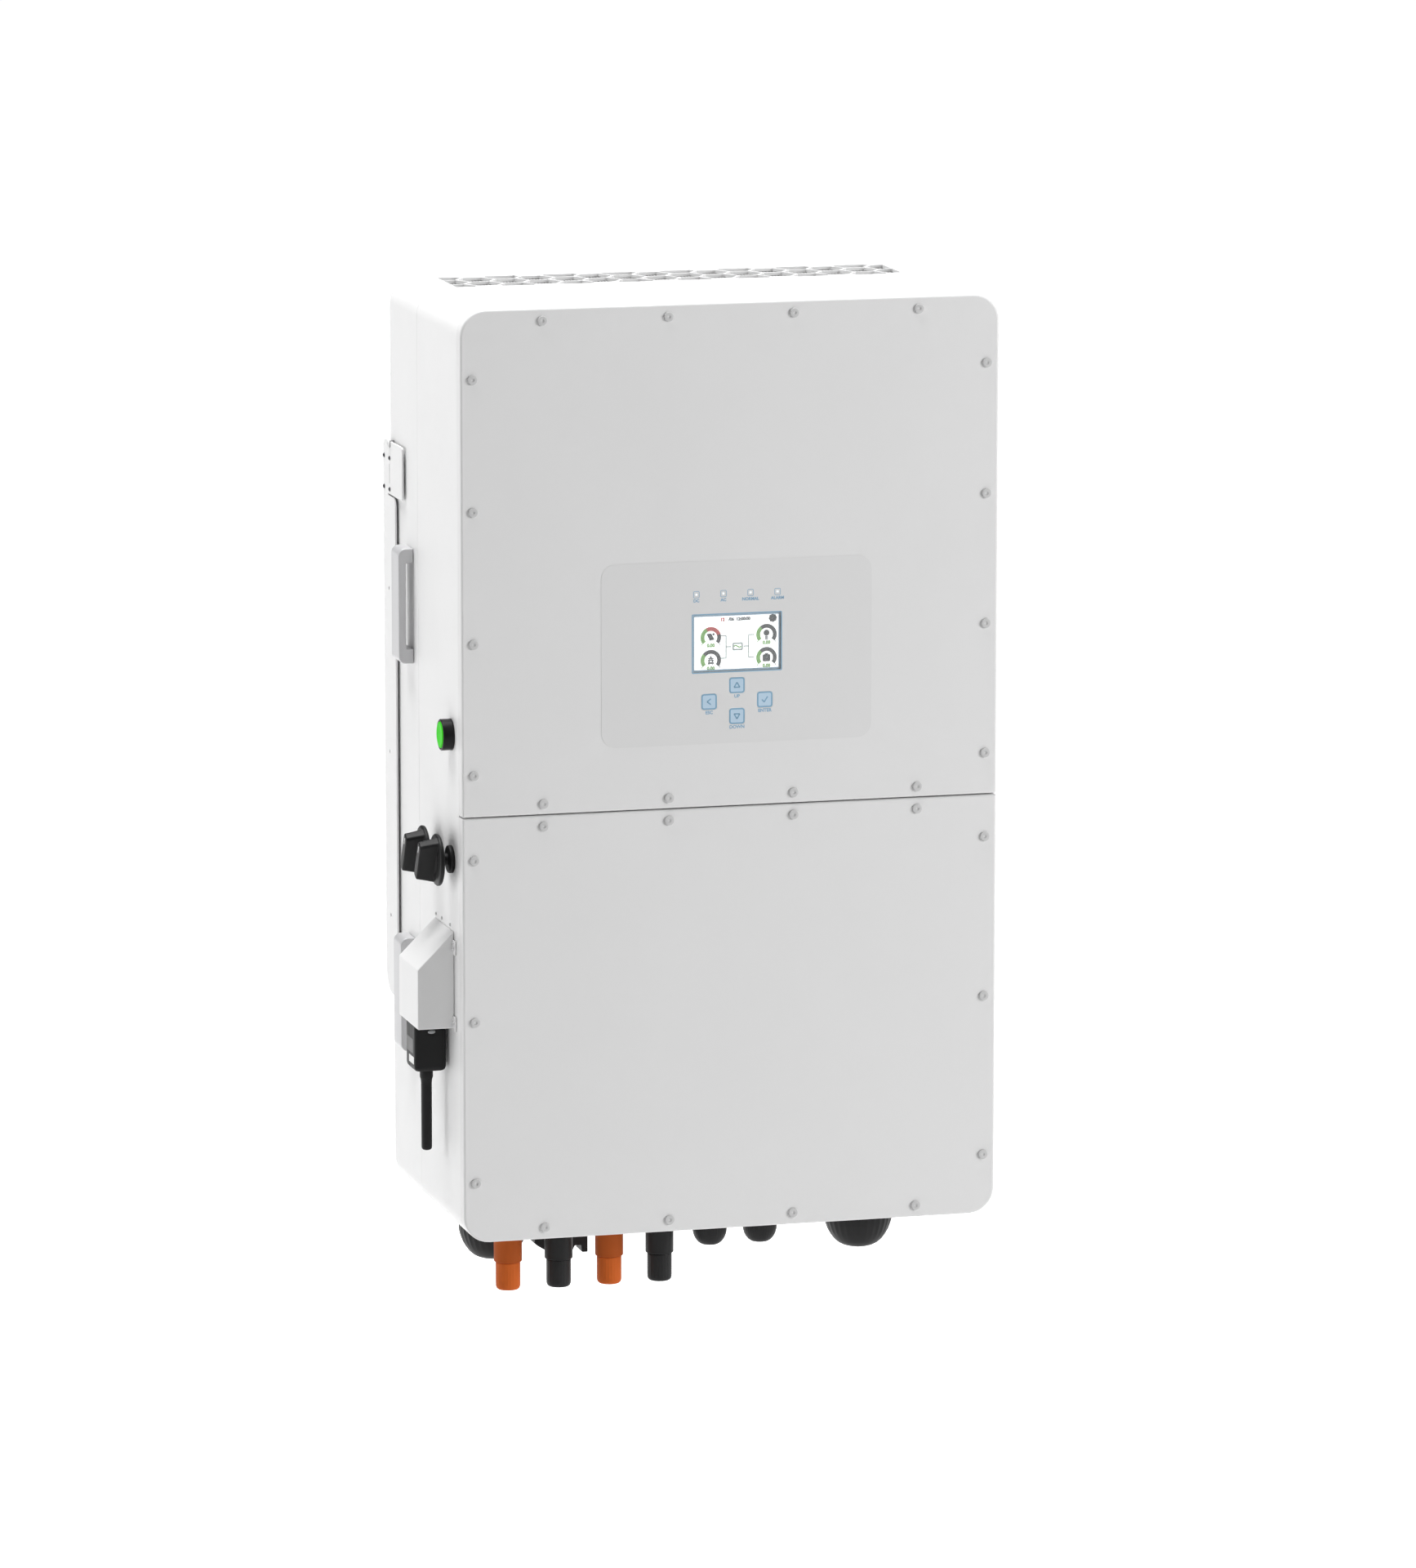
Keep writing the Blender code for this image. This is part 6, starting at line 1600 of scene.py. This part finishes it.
def blade_rings(spot, middle_z, base):
    """Sections of one twisted blade from its root to its tip."""
    rings = []
    for step in range(BLADE_LEVELS + 1):
        share = step / BLADE_LEVELS
        radius = HUB_R - BLADE_BITE + (BLADE_R - HUB_R + BLADE_BITE) * share
        twist = math.radians(BLADE_PITCH - PITCH_FALL * share)
        chord = BLADE_CHORD + CHORD_GROWTH * share
        sweep = base - BLADE_SWEEP * share
        ring = []
        for along, off in BLADE_SECTION:
            chord_at, thick_at = along * chord / 2, off * BLADE_HALF_THICK
            across = chord_at * math.cos(twist) - thick_at * math.sin(twist)
            up = chord_at * math.sin(twist) + thick_at * math.cos(twist)
            up = max(min(up, BLADE_HALF_HEIGHT), -BLADE_HALF_HEIGHT)
            angle = sweep + across / radius
            ring.append((
                spot.x + radius * math.cos(angle), spot.y + radius * math.sin(angle), middle_z + up,
            ))
        rings.append(ring)
    return rings


def fans():
    """Impellers with twisted blades; the frames keep their CAD shape."""
    for index in (1, 2, 3):
        node = "fan_impeller_%d" % index
        low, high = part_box(node)
        spot = middle("fan_frame_%d" % index)
        hub_high = high.z
        hub_low = hub_high - HUB_LENGTH
        profile = [
            (0, hub_high), (HUB_R - 0.0025, hub_high), (HUB_R - 0.0008, hub_high - 0.0007),
            (HUB_R, hub_high - 0.0025), (HUB_R, hub_low), (HUB_BORE_R, hub_low),
            (HUB_BORE_R, low.z), (0, low.z),
        ]
        shape = lathe(bmesh.new(), profile, (spot.x, spot.y, 0), (0, 0, 1), 48)
        hub = settle(soften(add_object("impeller", shape, "black_plastic")))
        middle_z = (hub_high + hub_low) / 2
        blade_shape = bmesh.new()
        for blade in range(BLADES):
            loft(blade_shape, blade_rings(spot, middle_z, 2 * math.pi * blade / BLADES))
        blades = add_object("impeller_blades", blade_shape, "black_plastic")
        hub = combine(hub, blades, "UNION")
        hub.name = "fan_rotor_%d" % index
        place(soften(hub), "black_plastic", node, body="fan_%d" % index)


# ------------------------------------------------------------------------------------------
# CAD parts that keep their shape

KEPT_LOOKS = {
    "upper_gasket": "black_rubber", "lower_gasket": "black_rubber", "top_grille": "housing_paint",
    "fan_tray": "zinc_steel", "hanger_rail": "zinc_steel", "heat_sink": "aluminium",
    "control_board": "board_mask", "power_board": "board_mask", "capacitor_bank": "sleeve",
    "inductor_bank": "potting", "ac_terminal_block": "black_plastic",
    "dc_terminal_block": "terminal_red", "fan_frame_1": "black_plastic",
    "fan_frame_2": "black_plastic", "fan_frame_3": "black_plastic",
}


MESH_PITCH = 0.0030
MESH_WIRE = 0.0013
MESH_INSET = 0.0040
MESH_DROP = 0.0003


def grille_mesh():
    """Wire mesh fixed under the top grille."""
    low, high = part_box("top_grille")
    top = low.z - MESH_DROP
    shape = bmesh.new()
    for axis, level in ((0, top), (1, top - MESH_WIRE / 2)):
        start, end = low[axis] + MESH_INSET, high[axis] - MESH_INSET
        for step in range(int((end - start) / MESH_PITCH) + 1):
            wire_low = Vector((low.x + MESH_INSET, low.y + MESH_INSET, level - MESH_WIRE / 2))
            wire_high = Vector((high.x - MESH_INSET, high.y - MESH_INSET, level))
            wire_low[axis] = start + step * MESH_PITCH
            wire_high[axis] = min(wire_low[axis] + MESH_WIRE, end)
            block(shape, wire_low, wire_high)
    place(add_object("top_grille_mesh", shape, "mesh_grey", False), "frame_steel")


def kept_parts():
    """Give the CAD pieces that keep their shape their materials."""
    for node, look in KEPT_LOOKS.items():
        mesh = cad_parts[node].data
        mesh.materials.clear()
        mesh.materials.append(LOOKS[look])


# ------------------------------------------------------------------------------------------
# Studio

CAMERA_AT = (-2.1666, -8.2501, 1.4406)
CAMERA_TOWARDS = (0.25647, 0.95077, -0.17393)
IMAGE_LONG_SIDE = 1920
FOCAL_PIXELS = 10761
SENSOR = 36.0
FLOOR_Z = -1.25
FLOOR_R = 90.0
CLIP_END = 400
AMBIENT = 0.12
LIGHTS = {
    # name: (place, direction, size, power)
    "top_light": ((-0.8, 0.3, 4.1), (0.18, -0.05, -1.0), 3.0, 236),
    "left_light": ((-4.6, 0.6, 0.9), (1.0, -0.08, -0.18), 3.6, 51),
    "right_light": ((4.2, -3.4, 1.4), (-1.0, 0.75, -0.3), 2.4, 187),
}


def soft_light(name, place_at, towards, size, power):
    data = bpy.data.lights.new(name, "AREA")
    data.shape = "DISK"
    data.size = size
    data.energy = power
    light = bpy.data.objects.new(name, data)
    light.location = place_at
    light.rotation_mode = "QUATERNION"
    light.rotation_quaternion = Vector(towards).to_track_quat("-Z", "Y")
    bpy.context.scene.collection.objects.link(light)


def studio():
    """Camera, plain world, pale floor and three soft lights."""
    scene = bpy.context.scene
    camera_data = bpy.data.cameras.new("camera")
    camera_data.sensor_width = SENSOR
    camera_data.lens = FOCAL_PIXELS * SENSOR / IMAGE_LONG_SIDE
    camera_data.clip_end = CLIP_END
    camera = bpy.data.objects.new("camera", camera_data)
    camera.location = CAMERA_AT
    camera.rotation_mode = "QUATERNION"
    camera.rotation_quaternion = Vector(CAMERA_TOWARDS).to_track_quat("-Z", "Y")
    scene.collection.objects.link(camera)
    scene.camera = camera
    scene.view_settings.view_transform = "Standard"
    scene.view_settings.look = "None"
    world = scene.world or bpy.data.worlds.new("world")
    scene.world = world
    world.use_nodes = True
    background = world.node_tree.nodes["Background"]
    background.inputs["Color"].default_value = (1.0, 1.0, 1.0, 1.0)
    background.inputs["Strength"].default_value = AMBIENT
    floor = lathe(bmesh.new(), [(0, 0), (FLOOR_R, 0), (FLOOR_R, -0.1), (0, -0.1)],
                  (0, 0, FLOOR_Z), (0, 0, 1), 64)
    floor = add_object("studio_floor", floor, "floor_white", False)
    for name, values in LIGHTS.items():
        soft_light(name, *values)


def main():
    front_shell()
    rear_shell()
    covers()
    cover_screws()
    operator_panel()
    panel_print()
    keys()
    display()
    lamps()
    power_button()
    dc_switches()
    logger_hood()
    logger_socket()
    data_logger()
    logger_antenna()
    handles()
    wall_bracket()
    ear_bolts()
    battery_connectors()
    signal_glands()
    cable_glands()
    pv_connectors()
    port_cover()
    fans()
    kept_parts()
    grille_mesh()
    studio()


main()
